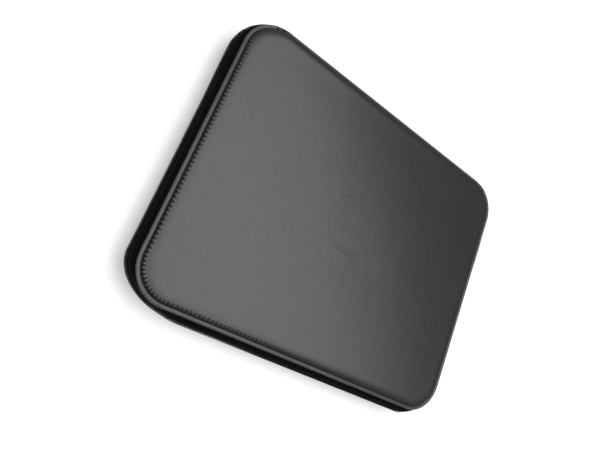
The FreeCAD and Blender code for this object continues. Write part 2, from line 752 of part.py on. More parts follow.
def elastic_strap(name, y):
    """An elastic band over the pack, sewn to the lining on both sides."""
    body = new_body(name, "[pack_x]", y, PACK_BOTTOM)
    sketch = new_sketch(body, "XZ_Plane")
    inside, top = "([pack_width] / 2 + 0.3)", "([pack_height] + [pack_gap])"
    outside = f"({inside} + [strap_wall])"
    low_in, low_out = "-0.2", "-0.2 - [strap_wall]"
    corners = [
        (f"-{outside}", top), (f"-{outside}", low_out), (outside, low_out), (outside, top),
        (inside, top), (inside, low_in), (f"-{inside}", low_in), (f"-{inside}", top),
    ]
    draw_outline(sketch, corners)
    pad(body, sketch, "[strap_width]", both_ways=True)
    return body


# ---------------------------------------------------------------------------------------------------------
# Lead from the charger's outlet round to the plug in the pack
# ---------------------------------------------------------------------------------------------------------
def build_lead():
    lead_z = f"{PACK_MIDDLE}"
    stem_top = f"{MODULE_BOTTOM} + [module_wall]"
    boss_low = f"{PACK_MIDDLE} - 2.2"
    boss = box("outlet_boss", "[outlet_x] - 4.5", "[outlet_y] - 7", boss_low, "9", "15",
               f"{FRONT_INSIDE} - ({boss_low})")
    stem = primitive("Cylinder", "outlet_stem", "[outlet_x]", "[outlet_y]", FRONT_INSIDE,
                     Radius="2.5", Height=f"{stem_top} - ({FRONT_INSIDE})")
    join("Fuse", "lead_outlet", Base=boss, Tool=stem)

    pack_end = dim("pack_y") + dim("pack_length") / 2
    plug_low = pack_end + 0.3
    body_length, relief_length = 20.0, 9.0
    z = level(lead_z)
    x = level("[pack_x]")
    build_plug(x, z, pack_end, plug_low, body_length, relief_length)

    # the lead: straight out of the outlet, half a turn across to the pack, and straight into the plug
    start = Vector(dim("outlet_x"), dim("outlet_y") + 8, z)
    bend = (dim("outlet_x") - x) / 2
    turn_y = plug_low + body_length + relief_length + 4
    before = Vector(start.x, turn_y, z)
    crest = Vector((start.x + x) / 2, turn_y + bend, z)
    after = Vector(x, turn_y, z)
    end = Vector(x, plug_low + body_length + relief_length, z)
    path = Part.Wire([
        Part.LineSegment(start, before).toShape(),
        Part.Arc(before, crest, after).toShape(),
        Part.LineSegment(after, end).toShape(),
    ])
    ring = Part.Wire([Part.Circle(start, Vector(0, 1, 0), dim("lead_radius")).toShape()])
    tube = path.makePipeShell([ring], True, True)
    lead = doc.addObject("Part::Feature", "charging_lead")
    lead.Label = "charging_lead"
    lead.Shape = Part.makeSolid(tube) if tube.ShapeType != "Solid" else tube
    wanted = math.pi * dim("lead_radius") ** 2 * path.Length
    share = lead.Shape.Volume / wanted
    print(f"lead: length {path.Length:.1f} mm, bend {bend:.1f} mm, volume {share:.3f} of its section")


def build_plug(x, z, pack_end, low, body_length, relief_length):
    """The plug: a metal tongue shell in the socket and a moulded body with a tapered relief."""
    shell = box("usb_plug_case", f"{x} - 6", f"{pack_end} - 11.5", f"{z} - 2.25", "12", "11.8", "4.5")
    slot = box("usb_plug_slot", f"{x} - 5.7", f"{pack_end} - 12", f"{z} - 1.95", "11.4", "11", "2.1")
    join("Cut", "usb_plug_shell", Base=shell, Tool=slot)

    block = box("usb_plug_block", f"{x} - 7.75", str(low), f"{z} - 3.9", "15.5", str(body_length), "7.8")
    relief = primitive("Cone", "usb_plug_relief", str(x), str(low + body_length), str(z),
                       Radius1="2.6", Radius2="[lead_radius] + 0.4", Height=str(relief_length))
    relief.Placement = Placement(Vector(x, low + body_length, z), Rotation(Vector(1, 0, 0), -90))
    rounded = doc.addObject("Part::Fillet", "usb_plug_rounded")
    rounded.Base = block
    doc.recompute()
    upright = [i + 1 for i, e in enumerate(block.Shape.Edges)
               if near(e.Vertexes[0].Z, e.Vertexes[-1].Z) and near(e.Vertexes[0].X, e.Vertexes[-1].X)]
    rounded.Edges = [(i, 1.8, 1.8) for i in upright]
    doc.recompute()
    join("Fuse", "usb_plug_body", Base=rounded, Tool=relief)


# ---------------------------------------------------------------------------------------------------------
# Pockets and pen loop
# ---------------------------------------------------------------------------------------------------------
def build_pockets():
    for index in range(3):
        tall = f"([card_height] + [card_step] * {2 - index})"
        plate(f"card_pocket_{index + 1}", "[card_width]", tall, "3", "[pocket_wall]",
              "28", f"-118 + {tall} / 2", f"{FRONT_INSIDE} - [pocket_wall] * {index + 1}")
    plate("mesh_pocket", "84", "104", "6", "[pocket_wall]", "51", "66", f"{FRONT_INSIDE} - [pocket_wall]")
    plate("document_pocket", "188", "132", "18", "[pocket_wall]", "2", "-56", BACK_INSIDE)

    loop = new_body("pen_loop", "[pen_x]", "[pen_y]", BACK_INSIDE)
    foot = new_sketch(loop, "XZ_Plane")
    wide = "([pen_radius] + [pen_wall] + 1.2)"
    draw_outline(foot, [(f"-{wide}", "0"), (wide, "0"), (wide, "[pen_wall]"), (f"-{wide}", "[pen_wall]")])
    pad(loop, foot, "[pen_length]", both_ways=True)
    outer = new_sketch(loop, "XZ_Plane", y="[pen_radius] + [pen_wall]")
    draw_circle(outer, "[pen_radius] + [pen_wall]")
    pad(loop, outer, "[pen_length]", both_ways=True)
    inner = new_sketch(loop, "XZ_Plane", y="[pen_radius] + [pen_wall]")
    draw_circle(inner, "[pen_radius]")
    pocket(loop, inner, "[pen_length] + 2", both_ways=True)


# ---------------------------------------------------------------------------------------------------------
# Slider and its pull
# ---------------------------------------------------------------------------------------------------------
def build_slider():
    middle = "[case_height] / 2"
    tape_in = f"({CHAIN_Y} - [tape_wall])"
    teeth_out = f"({CHAIN_Y} + [teeth_depth])"
    low_x = "[slider_x] - [slider_length] / 2"
    low_z = f"{middle} - [slider_width] / 2"
    plate_size = ("[slider_length]", "[slider_plate]", "[slider_width]")
    outer_y = f"{teeth_out} + 0.35"
    inner_y = f"{tape_in} - 0.3 - [slider_plate] + [fit_gap]"
    outer = box("slider_outer_plate", low_x, outer_y, low_z, *plate_size)
    inner = box("slider_inner_plate", low_x, inner_y, low_z, "[slider_length]", "[slider_plate] - [fit_gap]",
                "[slider_width]")
    neck = box("slider_neck", low_x, inner_y, f"{middle} - 0.4", "2.4",
               f"{outer_y} - ({inner_y}) + 0.5", "0.8")
    flange_y = f"{CHAIN_Y} + 0.35"
    upper = box("slider_upper_flange", low_x, flange_y, f"{middle} + [slider_width] / 2 - 0.9",
                "[slider_length]", f"{outer_y} - ({flange_y}) + 0.5", "0.9")
    lower = box("slider_lower_flange", low_x, flange_y, low_z,
                "[slider_length]", f"{outer_y} - ({flange_y}) + 0.5", "0.9")
    crown_y = f"{outer_y} + [slider_plate]"
    arch = box("slider_arch", "[slider_x] - 4", f"{crown_y} - 0.3", f"{middle} - 1.2", "8", "3.3", "2.4")
    eye = box("slider_arch_eye", "[slider_x] - 2.7", crown_y, f"{middle} - 2", "5.4", "1.9", "4")
    crown = join("Cut", "slider_crown", Base=arch, Tool=eye)
    join("MultiFuse", "zip_slider", Shapes=[outer, inner, neck, upper, lower, crown])

    pin_y = f"{crown_y} + 1.05"
    pin = primitive("Cylinder", "pull_pin", "[slider_x]", pin_y, f"{middle} - 2.5", Radius="0.65", Height="5")
    cheeks = []
    for name, z in (("upper", f"{middle} + 1.5"), ("lower", f"{middle} - 2.5")):
        arm = box(f"pull_arm_{name}", "[slider_x]", f"{pin_y} - 0.6", z, "7", "1.2", "1")
        knuckle = primitive("Cylinder", f"pull_knuckle_{name}", "[slider_x]", pin_y, z,
                            Radius="0.85", Height="1")
        cheeks += [arm, knuckle]
    blade = box("pull_blade", "[slider_x] + 5.2", f"{pin_y} - 0.6", f"{middle} - 2.5",
                "[link_length] - 5.2", "1.2", "5")
    link = join("MultiFuse", "pull_link", Shapes=[pin, blade, *cheeks])

    grip_x = "[slider_x] + 10"
    shell = box("pull_grip_block", grip_x, f"{pin_y} - 1.25", f"{middle} - [grip_width] / 2",
                "[grip_length]", "2.5", "[grip_width]")
    rounded = doc.addObject("Part::Fillet", "pull_grip_rounded")
    rounded.Base = shell
    doc.recompute()
    ends = [i + 1 for i, e in enumerate(shell.Shape.Edges)
            if near(e.Vertexes[0].X, e.Vertexes[-1].X) and near(e.Vertexes[0].Z, e.Vertexes[-1].Z)]
    rounded.Edges = [(i, 2.4, 2.4) for i in ends]
    doc.recompute()
    join("Cut", "pull_grip", Base=rounded, Tool=link)


# ---------------------------------------------------------------------------------------------------------
# Build, check and write
# ---------------------------------------------------------------------------------------------------------
NODES = [
    "front_cover_skin", "front_padding", "front_board", "front_lining", "front_edge_binding",
    "back_cover_skin", "back_padding", "back_board", "back_lining", "back_edge_binding",
    "front_zip_tape", "back_zip_tape", "front_zip_teeth", "back_zip_teeth", "front_top_stop", "back_top_stop",
    "spine_skin", "spine_board", "spine_lining", "front_fold_leather", "back_fold_leather",
    "charger_base_shell", "charger_top_shell", "charger_screws", "charging_coil", "ferrite_plate",
    "charger_board", "charger_components",
    "battery_pack_lid", "battery_pack_tray", "battery_cell", "battery_board", "battery_components",
    "usb_a_socket", "usb_c_socket", "status_lights", "power_button",
    "battery_strap_lower", "battery_strap_upper",
    "lead_outlet", "charging_lead", "usb_plug_shell", "usb_plug_body",
    "card_pocket_1", "card_pocket_2", "card_pocket_3", "mesh_pocket", "document_pocket", "pen_loop",
    "zip_slider", "pull_link", "pull_grip",
]


def write_parts():
    """Checks every object and every sub-part, then writes the STEP files."""
    doc.recompute()
    failed = [o.Name for o in doc.Objects if {"Invalid", "Error"} & set(o.State)]
    if failed:
        raise RuntimeError(f"failed objects: {failed}")
    by_label = {o.Label: o for o in doc.Objects}
    for name in NODES:
        shape = by_label[name].Shape
        if shape.isNull() or not shape.isValid() or not shape.Solids:
            raise RuntimeError(f"{name} is not a valid solid")
    os.makedirs("parts", exist_ok=True)
    for old in os.listdir("parts"):
        os.remove(os.path.join("parts", old))
    for name in NODES:
        by_label[name].Shape.exportStep(os.path.join("parts", name + ".step"))
    print(f"wrote {len(NODES)} parts")


build_covers()
build_zip()
build_spine()
build_charger()
build_pack()
build_lead()
build_pockets()
build_slider()
write_parts()
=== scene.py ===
"""Looks of the zip-around case whose front cover is a wireless charging pad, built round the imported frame."""

import json
import math

import bpy
import numpy as np
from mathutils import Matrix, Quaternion, Vector, noise
from mathutils.bvhtree import BVHTree


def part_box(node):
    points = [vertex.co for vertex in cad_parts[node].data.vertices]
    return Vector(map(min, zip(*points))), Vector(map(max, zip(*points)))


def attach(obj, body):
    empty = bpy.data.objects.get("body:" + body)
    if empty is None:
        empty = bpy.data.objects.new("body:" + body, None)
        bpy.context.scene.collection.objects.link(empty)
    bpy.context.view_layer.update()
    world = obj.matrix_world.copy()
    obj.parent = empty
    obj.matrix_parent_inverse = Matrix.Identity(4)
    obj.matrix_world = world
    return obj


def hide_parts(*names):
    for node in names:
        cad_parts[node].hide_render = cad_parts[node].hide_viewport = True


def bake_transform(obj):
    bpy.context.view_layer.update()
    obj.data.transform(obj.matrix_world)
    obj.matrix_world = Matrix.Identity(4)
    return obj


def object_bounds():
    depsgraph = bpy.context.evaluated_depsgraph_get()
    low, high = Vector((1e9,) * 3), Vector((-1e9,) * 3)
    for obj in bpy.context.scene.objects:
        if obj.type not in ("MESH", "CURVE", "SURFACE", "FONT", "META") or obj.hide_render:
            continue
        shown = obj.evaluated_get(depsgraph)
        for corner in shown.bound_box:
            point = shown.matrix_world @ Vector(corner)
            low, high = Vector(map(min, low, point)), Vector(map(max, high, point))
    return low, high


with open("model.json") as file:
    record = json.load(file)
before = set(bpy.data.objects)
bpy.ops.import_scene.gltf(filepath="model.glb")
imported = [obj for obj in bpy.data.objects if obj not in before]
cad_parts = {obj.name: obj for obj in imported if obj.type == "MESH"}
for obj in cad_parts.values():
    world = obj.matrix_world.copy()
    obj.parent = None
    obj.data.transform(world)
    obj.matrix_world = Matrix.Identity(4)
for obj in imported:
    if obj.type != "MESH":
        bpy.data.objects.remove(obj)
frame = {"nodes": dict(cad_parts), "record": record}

MM = 0.001
cad_low, cad_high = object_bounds()
nodes = frame["nodes"]

# Places taken from the frame
_, rim_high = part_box("front_edge_binding")
tape_low, tape_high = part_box("front_zip_tape")
_, teeth_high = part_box("front_zip_teeth")
MIDDLE = (cad_low.z + cad_high.z) / 2
CROWN = cad_high.z - MIDDLE
RIM_X = rim_high.x
RIM_Y = rim_high.y
RIM_TOP = rim_high.z - MIDDLE
TAPE_TOP = tape_high.z - MIDDLE
TAPE_EDGE = tape_low.z - MIDDLE
BULGE = tape_high.x - RIM_X

# Sizes of the visible leather and thread
RIM_RADIUS = 26 * MM
RIM_WIDTH = 2.3 * MM
RIM_END_Y = 115 * MM
TAPE_END_Y = 113.5 * MM
TAPE_WALL = 0.6 * MM
VALLEY = RIM_TOP - 0.6 * MM
SHOULDER_RUN = 1.0 * MM
SHOULDER_TOP = RIM_TOP + 1.1 * MM
SLOPE_RUN = 8 * MM
SLOPE_TOP = RIM_TOP + 2.1 * MM
STITCH_PITCH = 3.1 * MM
STITCH_LENGTH = 1.8 * MM
STITCH_INSET = RIM_WIDTH + 0.3 * MM
LEATHER_WALL = 1.0 * MM
SPINE_STAND = 2.0 * MM
SPINE_ROLL = 9.5 * MM
SPINE_DROP = 6.0 * MM
CORNER_STEPS = 14
STEP = 4 * MM
SPINE_SIDE_X = -90 * MM
RIM_END_RUN = 6 * MM

# The zip's chain starts at this Y, beside the near end of the spine, and stops at this X on the far short
# side. On the near short side the same X is where the zip begins to be drawn in.
COIL_START_Y = -122 * MM
CHAIN_END_X = -66 * MM

# Where and by how much the zip is drawn in from its full bulge. Places along the near short side, round
# the near open corner and along the near long side are runs of the rim from the middle of that corner.
OPEN_CORNER_PULL = 0.75
SPINE_CORNER_PULL = 0.4
TUCKED_SHARE = 0.12
TUCK_RUN = 15 * MM
NEAR_PULL = 0.85
NEAR_PULL_AT = 8 * MM
NEAR_PULL_REACH = 28 * MM
SIDE_PULL = 0.12
SIDE_PULL_START = 165 * MM
SIDE_PULL_RISE = 40 * MM
SIDE_PULL_END = 5 * MM
SIDE_PULL_FALL = 25 * MM

# Radii of the sewing threads
RIM_THREAD = 0.3 * MM
TACK_THREAD = 0.26 * MM
LINING_THREAD = 0.22 * MM
GRIP_THREAD = 0.16 * MM
TAPE_THREAD = 0.13 * MM

# The cloth pass on the padded leather
CLOTH_FRAMES = 12
CLOTH_CAP = 0.35 * MM
CLOTH_HELD_TO = 3.5 * MM
CLOTH_HELD_FADE = 3 * MM
CLOTH_HELD_AT_SPINE = 10 * MM


# ---------------------------------------------------------------------------------------------------------
# Outlines and meshes
# ---------------------------------------------------------------------------------------------------------
def smooth(t):
    """0 below 0, 1 above 1, and an S between them."""
    t = min(1.0, max(0.0, t))
    return t * t * (3 - 2 * t)


def outline(half_x, half_y, radius, inset=0.0, step=STEP, corner_steps=CORNER_STEPS):
    """Points and outward normals round a rounded rectangle drawn in by inset.

    They run counter-clockwise from the middle of the -X side, and their number doesn't depend on inset.
    """
    r = max(radius - inset, 0.3 * MM)
    cx = half_x - inset - r
    cy = half_y - inset - r
    across = max(1, math.ceil(2 * (half_x - radius) / step))
    half_up = max(1, math.ceil((half_y - radius) / step))
    points = []
    normals = []

    def straight(start, end, count, normal):
        for i in range(count):
            t = i / count
            points.append((start[0] + (end[0] - start[0]) * t, start[1] + (end[1] - start[1]) * t))
            normals.append(normal)

    def corner(x, y, first):
        for i in range(corner_steps):
            a = math.radians(first + 90 * i / corner_steps)
            points.append((x + r * math.cos(a), y + r * math.sin(a)))
            normals.append((math.cos(a), math.sin(a)))

    straight((-cx - r, 0), (-cx - r, -cy), half_up, (-1, 0))
    corner(-cx, -cy, 180)
    straight((-cx, -cy - r), (cx, -cy - r), across, (0, -1))
    corner(cx, -cy, 270)
    straight((cx + r, -cy), (cx + r, cy), 2 * half_up, (1, 0))
    corner(cx, cy, 0)
    straight((cx, cy + r), (-cx, cy + r), across, (0, 1))
    corner(-cx, cy, 90)
    straight((-cx - r, cy), (-cx - r, 0), half_up, (-1, 0))
    return np.array(points), np.array(normals)


RIM, RIM_NORMALS = outline(RIM_X, RIM_Y, RIM_RADIUS)
RIM_COUNT = len(RIM)
RIM_RUN = np.concatenate([[0], np.cumsum(np.linalg.norm(np.diff(RIM, axis=0), axis=1))])
RIM_LENGTH = RIM_RUN[-1] + np.linalg.norm(RIM[0] - RIM[-1])


def off_spine(limit):
    """Indices round the three open sides, starting and ending limit from the middle of the spine."""
    return [i for i in range(RIM_COUNT) if RIM[i][0] > SPINE_SIDE_X or abs(RIM[i][1]) > limit]


def on_spine(limit):
    """Indices up the spine, from limit above its middle to limit below."""
    near = [i for i in range(RIM_COUNT) if RIM[i][0] < SPINE_SIDE_X and abs(RIM[i][1]) <= limit]
    return [i for i in near if i > RIM_COUNT / 2] + [i for i in near if i < RIM_COUNT / 2]


def rim_place(run, inset, height):
    """The point at a run round the rim, inset from it, at a height over the middle of the case."""
    i = int(np.searchsorted(RIM_RUN, run, side="right")) - 1
    j = (i + 1) % RIM_COUNT
    end = RIM_RUN[j] if j else RIM_LENGTH
    t = (run - RIM_RUN[i]) / (end - RIM_RUN[i])
    normal = RIM_NORMALS[i] * (1 - t) + RIM_NORMALS[j] * t
    normal = normal / np.linalg.norm(normal)
    at = RIM[i] * (1 - t) + RIM[j] * t - inset * normal
    return np.array([at[0], at[1], MIDDLE + height])


def rim_normal(run):
    """The outward direction at a run round the rim."""
    inner = rim_place(run, 0, 0)
    outer = rim_place(run, -MM, 0)
    return (outer - inner) / MM


class Shape:
    """Collects the points, faces and texture places of one mesh."""

    def __init__(self):
        self.points = []
        self.faces = []
        self.places = []

    def add_rows(self, rows, places=None, closed_rows=False, closed_ends=False):
        """Adds a grid of points: rows of the same length, joined row to row."""
        first = len(self.points)
        width = len(rows[0])
        for k, row in enumerate(rows):
            self.points.extend(tuple(p) for p in row)
            self.places.extend(places[k] if places else [(0.0, 0.0)] * width)
        last = width if closed_rows else width - 1
        for k in range(len(rows) - 1):
            for i in range(last):
                a = first + k * width + i
                b = first + k * width + (i + 1) % width
                self.faces.append((a, b, b + width, a + width))
        if closed_ends:
            self.faces.append(tuple(first + i for i in reversed(range(width))))
            self.faces.append(tuple(first + (len(rows) - 1) * width + i for i in range(width)))

    def add_tube(self, line, radius, sides, up):
        """Adds a round tube along a line of points, closed at both ends."""
        line = np.array(line, float)
        radius = np.broadcast_to(np.array(radius, float), (len(line),))
        along = np.gradient(line, axis=0)
        along /= np.linalg.norm(along, axis=1)[:, None]
        up = np.broadcast_to(np.array(up, float), line.shape)
        side = np.cross(along, up)
        side /= np.linalg.norm(side, axis=1)[:, None]
        rise = np.cross(side, along)
        angles = [2 * math.pi * i / sides for i in range(sides)]
        rows = []
        for k in range(len(line)):
            ring = [math.cos(a) * side[k] + math.sin(a) * rise[k] for a in angles]
            rows.append([line[k] + radius[k] * way for way in ring])
        self.add_rows(rows, closed_rows=True, closed_ends=True)

    def make(self, name, material, body=None, replaces=(), flip=False):
        """Makes the object and says what it rides on, what it stands for and whose finish it takes."""
        mesh = bpy.data.meshes.new(name)
        faces = [tuple(reversed(f)) for f in self.faces] if flip else self.faces
        mesh.from_pydata([tuple(p) for p in self.points], [], faces)
        layer = mesh.uv_layers.new(name="Run")
        corners = np.empty(len(mesh.loops), np.int32)
        mesh.loops.foreach_get("vertex_index", corners)
        layer.data.foreach_set("uv", np.array(self.places, np.float32)[corners].ravel())
        mesh.polygons.foreach_set("use_smooth", [True] * len(mesh.polygons))
        mesh.materials.append(material)
        mesh.update()
        thing = bpy.data.objects.new(name, mesh)
        bpy.context.scene.collection.objects.link(thing)
        if body:
            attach(thing, body)
        if replaces:
            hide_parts(*replaces)
        return thing


def bulge_at(x, y):
    """How far the zip stands out at a point of the rim: less round the corners, and little at the spine."""
    away_x = abs(x) - (RIM_X - RIM_RADIUS)
    away_y = abs(y) - (RIM_Y - RIM_RADIUS)
    pull = 0.0
    if away_x > 0 and away_y > 0:
        pull = (OPEN_CORNER_PULL if x > 0 else SPINE_CORNER_PULL) * math.sin(2 * math.atan2(away_y, away_x))
    share = 1 - pull
    if x < -(RIM_X - RIM_RADIUS):
        tucked = smooth((abs(y) - RIM_END_Y) / TUCK_RUN)
        share *= TUCKED_SHARE + (1 - TUCKED_SHARE) * tucked
    if y < 0 and x > CHAIN_END_X:
        share = near_share(x, y)
    return BULGE * share


def near_share(x, y):
    """The zip's share of its bulge on the near short side, round the near open corner and past it."""
    centre_x = RIM_X - RIM_RADIUS
    centre_y = -(RIM_Y - RIM_RADIUS)
    half_arc = RIM_RADIUS * math.pi / 4
    if x < centre_x:
        past = x - centre_x - half_arc
    elif y > centre_y:
        past = y - centre_y + half_arc
    else:
        past = RIM_RADIUS * (math.atan2(y - centre_y, x - centre_x) + math.pi / 4)
    t = min(1.0, abs(past - NEAR_PULL_AT) / NEAR_PULL_REACH)
    begins = smooth((past + SIDE_PULL_START) / SIDE_PULL_RISE)
    ends = smooth((-past - SIDE_PULL_END) / SIDE_PULL_FALL)
    return (1 - NEAR_PULL * (1 - t * t) ** 2) * (1 - SIDE_PULL * begins * ends)


def sweep(shape, indices, profile_at, side):
    """Adds a closed profile of (inset, height) pairs, given at each point, swept round the rim."""
    rows = []
    places = []
    for i in indices:
        profile = np.array(profile_at(*RIM[i]), float)
        lengths = np.concatenate([[0], np.cumsum(np.linalg.norm(np.diff(profile, axis=0), axis=1))])
        row = []
        for inset, height in profile:
            x, y = RIM[i] - inset * RIM_NORMALS[i]
            row.append((x, y, MIDDLE + side * height))
        rows.append(row)
        places.append([(RIM_RUN[i], length) for length in lengths])
    shape.add_rows(rows, places, closed_rows=True, closed_ends=True)


def add_stitch(shape, start, end, rise, radius):
    """Adds one thread stitch that lies on the surface and dips into it at both ends."""
    start = np.array(start, float)
    end = np.array(end, float)
    rise = np.array(rise, float)
    depths = [-1.2, 0.2, 0.7, 0.2, -1.2]
    line = [start + (end - start) * t + rise * radius * d for t, d in zip((0, 0.14, 0.5, 0.86, 1), depths)]
    shape.add_tube(line, [radius * 0.7, radius, radius, radius, radius * 0.7], sides=6, up=rise)


# ---------------------------------------------------------------------------------------------------------
# Materials
# ---------------------------------------------------------------------------------------------------------
class Finish:
    """A procedural material, built up node by node."""

    def __init__(self, name, colour, roughness, metallic=0.0, **sockets):
        self.material = bpy.data.materials.new(name)
        self.material.use_nodes = True
        self.tree = self.material.node_tree
        self.shader = self.tree.nodes["Principled BSDF"]
        self.shader.inputs["Base Color"].default_value = (*colour, 1)
        self.shader.inputs["Roughness"].default_value = roughness
        self.shader.inputs["Metallic"].default_value = metallic
        for socket, value in sockets.items():
            self.shader.inputs[socket.replace("_", " ")].default_value = value
        self.colour = colour
        self.place = self.tree.nodes.new("ShaderNodeTexCoord").outputs["Object"]
        self.height = None

    def node(self, kind, inputs=(), **settings):
        """Adds a shader node; an input is either a value or another node's output."""
        made = self.tree.nodes.new("ShaderNode" + kind)
        for name, value in settings.items():
            setattr(made, name, value)
        for socket, value in dict(inputs).items():
            if hasattr(value, "is_output"):
                self.tree.links.new(value, made.inputs[socket])
            else:
                made.inputs[socket].default_value = value
        return made

    def sum(self, operation, a, b=0.0):
        """One arithmetic step on one or two values."""
        return self.node("Math", {0: a, 1: b}, operation=operation).outputs[0]

    def noise(self, scale, detail=3.0, stretch=None):
        """Cloudy noise by object place, drawn out if stretch is given."""
        place = self.place
        if stretch:
            place = self.node("Mapping", {"Vector": self.place, "Scale": stretch}).outputs[0]
        return self.node("TexNoise", {"Vector": place, "Scale": scale, "Detail": detail}).outputs["Fac"]

    def cells(self, scale):
        """Rounded pebbles by object place."""
        inputs = {"Vector": self.place, "Scale": scale, "Smoothness": 0.6}
        return self.node("TexVoronoi", inputs, feature="SMOOTH_F1").outputs["Distance"]

    def spread(self, value, low, high, from_low=0.3, from_high=0.7):
        """Maps a value from one range to another, and holds it between low and high."""
        inputs = {"Value": value, "From Min": from_low, "From Max": from_high, "To Min": low, "To Max": high}
        return self.node("MapRange", inputs).outputs["Result"]

    def tint(self, value, low, high):
        """Scales the base colour between two brightnesses by a value from 0 to 1."""
        made = self.node("Mix", data_type="RGBA", clamp_factor=False)
        self.tree.links.new(value, made.inputs["Factor"])
        colour_sockets = [s for s in made.inputs if s.type == "RGBA"]
        colour_sockets[0].default_value = (*[c * low for c in self.colour], 1)
        colour_sockets[1].default_value = (*[c * high for c in self.colour], 1)
        result = [s for s in made.outputs if s.type == "RGBA"][0]
        self.tree.links.new(result, self.shader.inputs["Base Color"])
        return self

    def rough(self, value, low, high):
        """Lets the roughness follow a value."""
        self.tree.links.new(self.spread(value, low, high), self.shader.inputs["Roughness"])
        return self

    def bump(self, height, depth, strength=0.6):
        """Adds relief on top of any that is there already."""
        made = self.node("Bump", {"Height": height, "Distance": depth, "Strength": strength})
        if self.height:
            self.tree.links.new(self.height, made.inputs["Normal"])
        self.height = made.outputs["Normal"]
        self.tree.links.new(self.height, self.shader.inputs["Normal"])
        return self


def leather(name, colour, roughness=0.5, grain=1.0, puckered=False):
    """Coated leather: fine pebbled grain over soft unevenness, and bumped creases at the stitches if puckered,
    with painted shade darkening the colour in those creases.
    """
    f = Finish(name, colour, roughness, Specular_IOR_Level=0.5)
    pebbles = f.cells(950)
    creases = f.noise(320, 5)
    mottle = f.spread(f.noise(420, 4), -2, 2)
    tone_and_crease_shade = f.sum("ADD", f.spread(f.noise(14, 3), 0, 1), mottle)
    if puckered:
        run = f.node("SeparateXYZ", {0: f.node("UVMap", uv_map="Run").outputs["UV"]})
        wave = f.sum("COSINE", f.sum("MULTIPLY", run.outputs["X"], 2 * math.pi / STITCH_PITCH))
        pinch = f.sum("POWER", f.spread(wave, 0, 1, -1, 1), 3)
        near = f.spread(run.outputs["Y"], 1, 0, STITCH_INSET + 0.4 * MM, STITCH_INSET + 2.4 * MM)
        pucker = f.sum("MULTIPLY", pinch, near)
        f.bump(pucker, -0.8 * MM, 1.0)
        # Painted shade: the base colour is made much darker along the stitch creases, where shade would fall,
        # on top of their bump.
        tone_and_crease_shade = f.sum("SUBTRACT", tone_and_crease_shade, f.sum("MULTIPLY", pucker, 6.5))
    f.tint(tone_and_crease_shade, 0.94, 1.06)
    f.rough(f.noise(800, 2), roughness - 0.02, roughness + 0.025)
    f.bump(f.sum("ADD", pebbles, f.sum("MULTIPLY", creases, 0.8)), 0.08 * MM * grain, 0.35)
    return f.material


def woven(name, colour, thread, depth=0.12, contrast=0.5):
    """Plain-woven cloth: two crossing sets of threads, by object place."""
    f = Finish(name, colour, 0.85, Sheen_Weight=0.15, Specular_IOR_Level=0.25)
    axes = f.node("SeparateXYZ", {0: f.place})
    turns = 2 * math.pi / thread
    waves = [f.sum("SINE", f.sum("MULTIPLY", axes.outputs[k], turns)) for k in ("X", "Y")]
    mesh = f.sum("MULTIPLY", waves[0], waves[1])
    f.tint(f.spread(mesh, 0, 1, -1, 1), 1 - contrast, 1 + contrast)
    f.bump(mesh, depth * MM, 0.7)
    f.bump(f.noise(400, 4), 0.05 * MM, 0.4)
    return f.material


def herringbone(name, colour, rib, band):
    """Zip tape: ribs that lean one way, then the other, in bands along the tape."""
    f = Finish(name, colour, 0.85, Specular_IOR_Level=0.05)
    run = f.node("UVMap", uv_map="Run").outputs["UV"]
    axes = f.node("SeparateXYZ", {0: run})
    across = f.sum("PINGPONG", axes.outputs["Y"], band)
    slope = f.sum("MULTIPLY", f.sum("ADD", axes.outputs["X"], across), 2 * math.pi / rib)
    ribs = f.sum("SINE", slope)
    f.tint(f.spread(ribs, 0, 1, -1, 1), 0.45, 1.7)
    f.bump(ribs, 0.16 * MM, 0.8)
    f.bump(f.noise(700, 3), 0.05 * MM, 0.4)
    return f.material


def plastic(name, colour, roughness, texture=0.04, **sockets):
    """Moulded plastic with a fine spark-eroded texture and faint handling marks."""
    f = Finish(name, colour, roughness, **sockets)
    f.tint(f.spread(f.noise(35, 2), 0, 1), 0.93, 1.06)
    f.rough(f.noise(60, 4), roughness - 0.04, roughness + 0.05)
    f.bump(f.noise(1500, 2), texture * MM, 0.35)
    return f.material


def metal(name, colour, roughness, brushed=False):
    """Plated or bare metal with fine wear."""
    f = Finish(name, colour, roughness, metallic=1.0)
    f.tint(f.spread(f.noise(120, 4), 0, 1), 0.85, 1.1)
    f.rough(f.noise(300, 5), roughness - 0.06, roughness + 0.1)
    stretch = (40, 1, 1) if brushed else None
    f.bump(f.noise(900, 3, stretch), 0.02 * MM, 0.25)
    return f.material


def fibre(name, colour, scale, stretch, roughness=0.9):
    """Ribbed or fibrous stuff such as elastic, foam, board and thread."""
    f = Finish(name, colour, roughness, Specular_IOR_Level=0.25)
    grain = f.noise(scale, 4, stretch)
    f.tint(f.spread(grain, 0, 1), 0.7, 1.25)
    f.bump(grain, 0.1 * MM, 0.6)
    return f.material


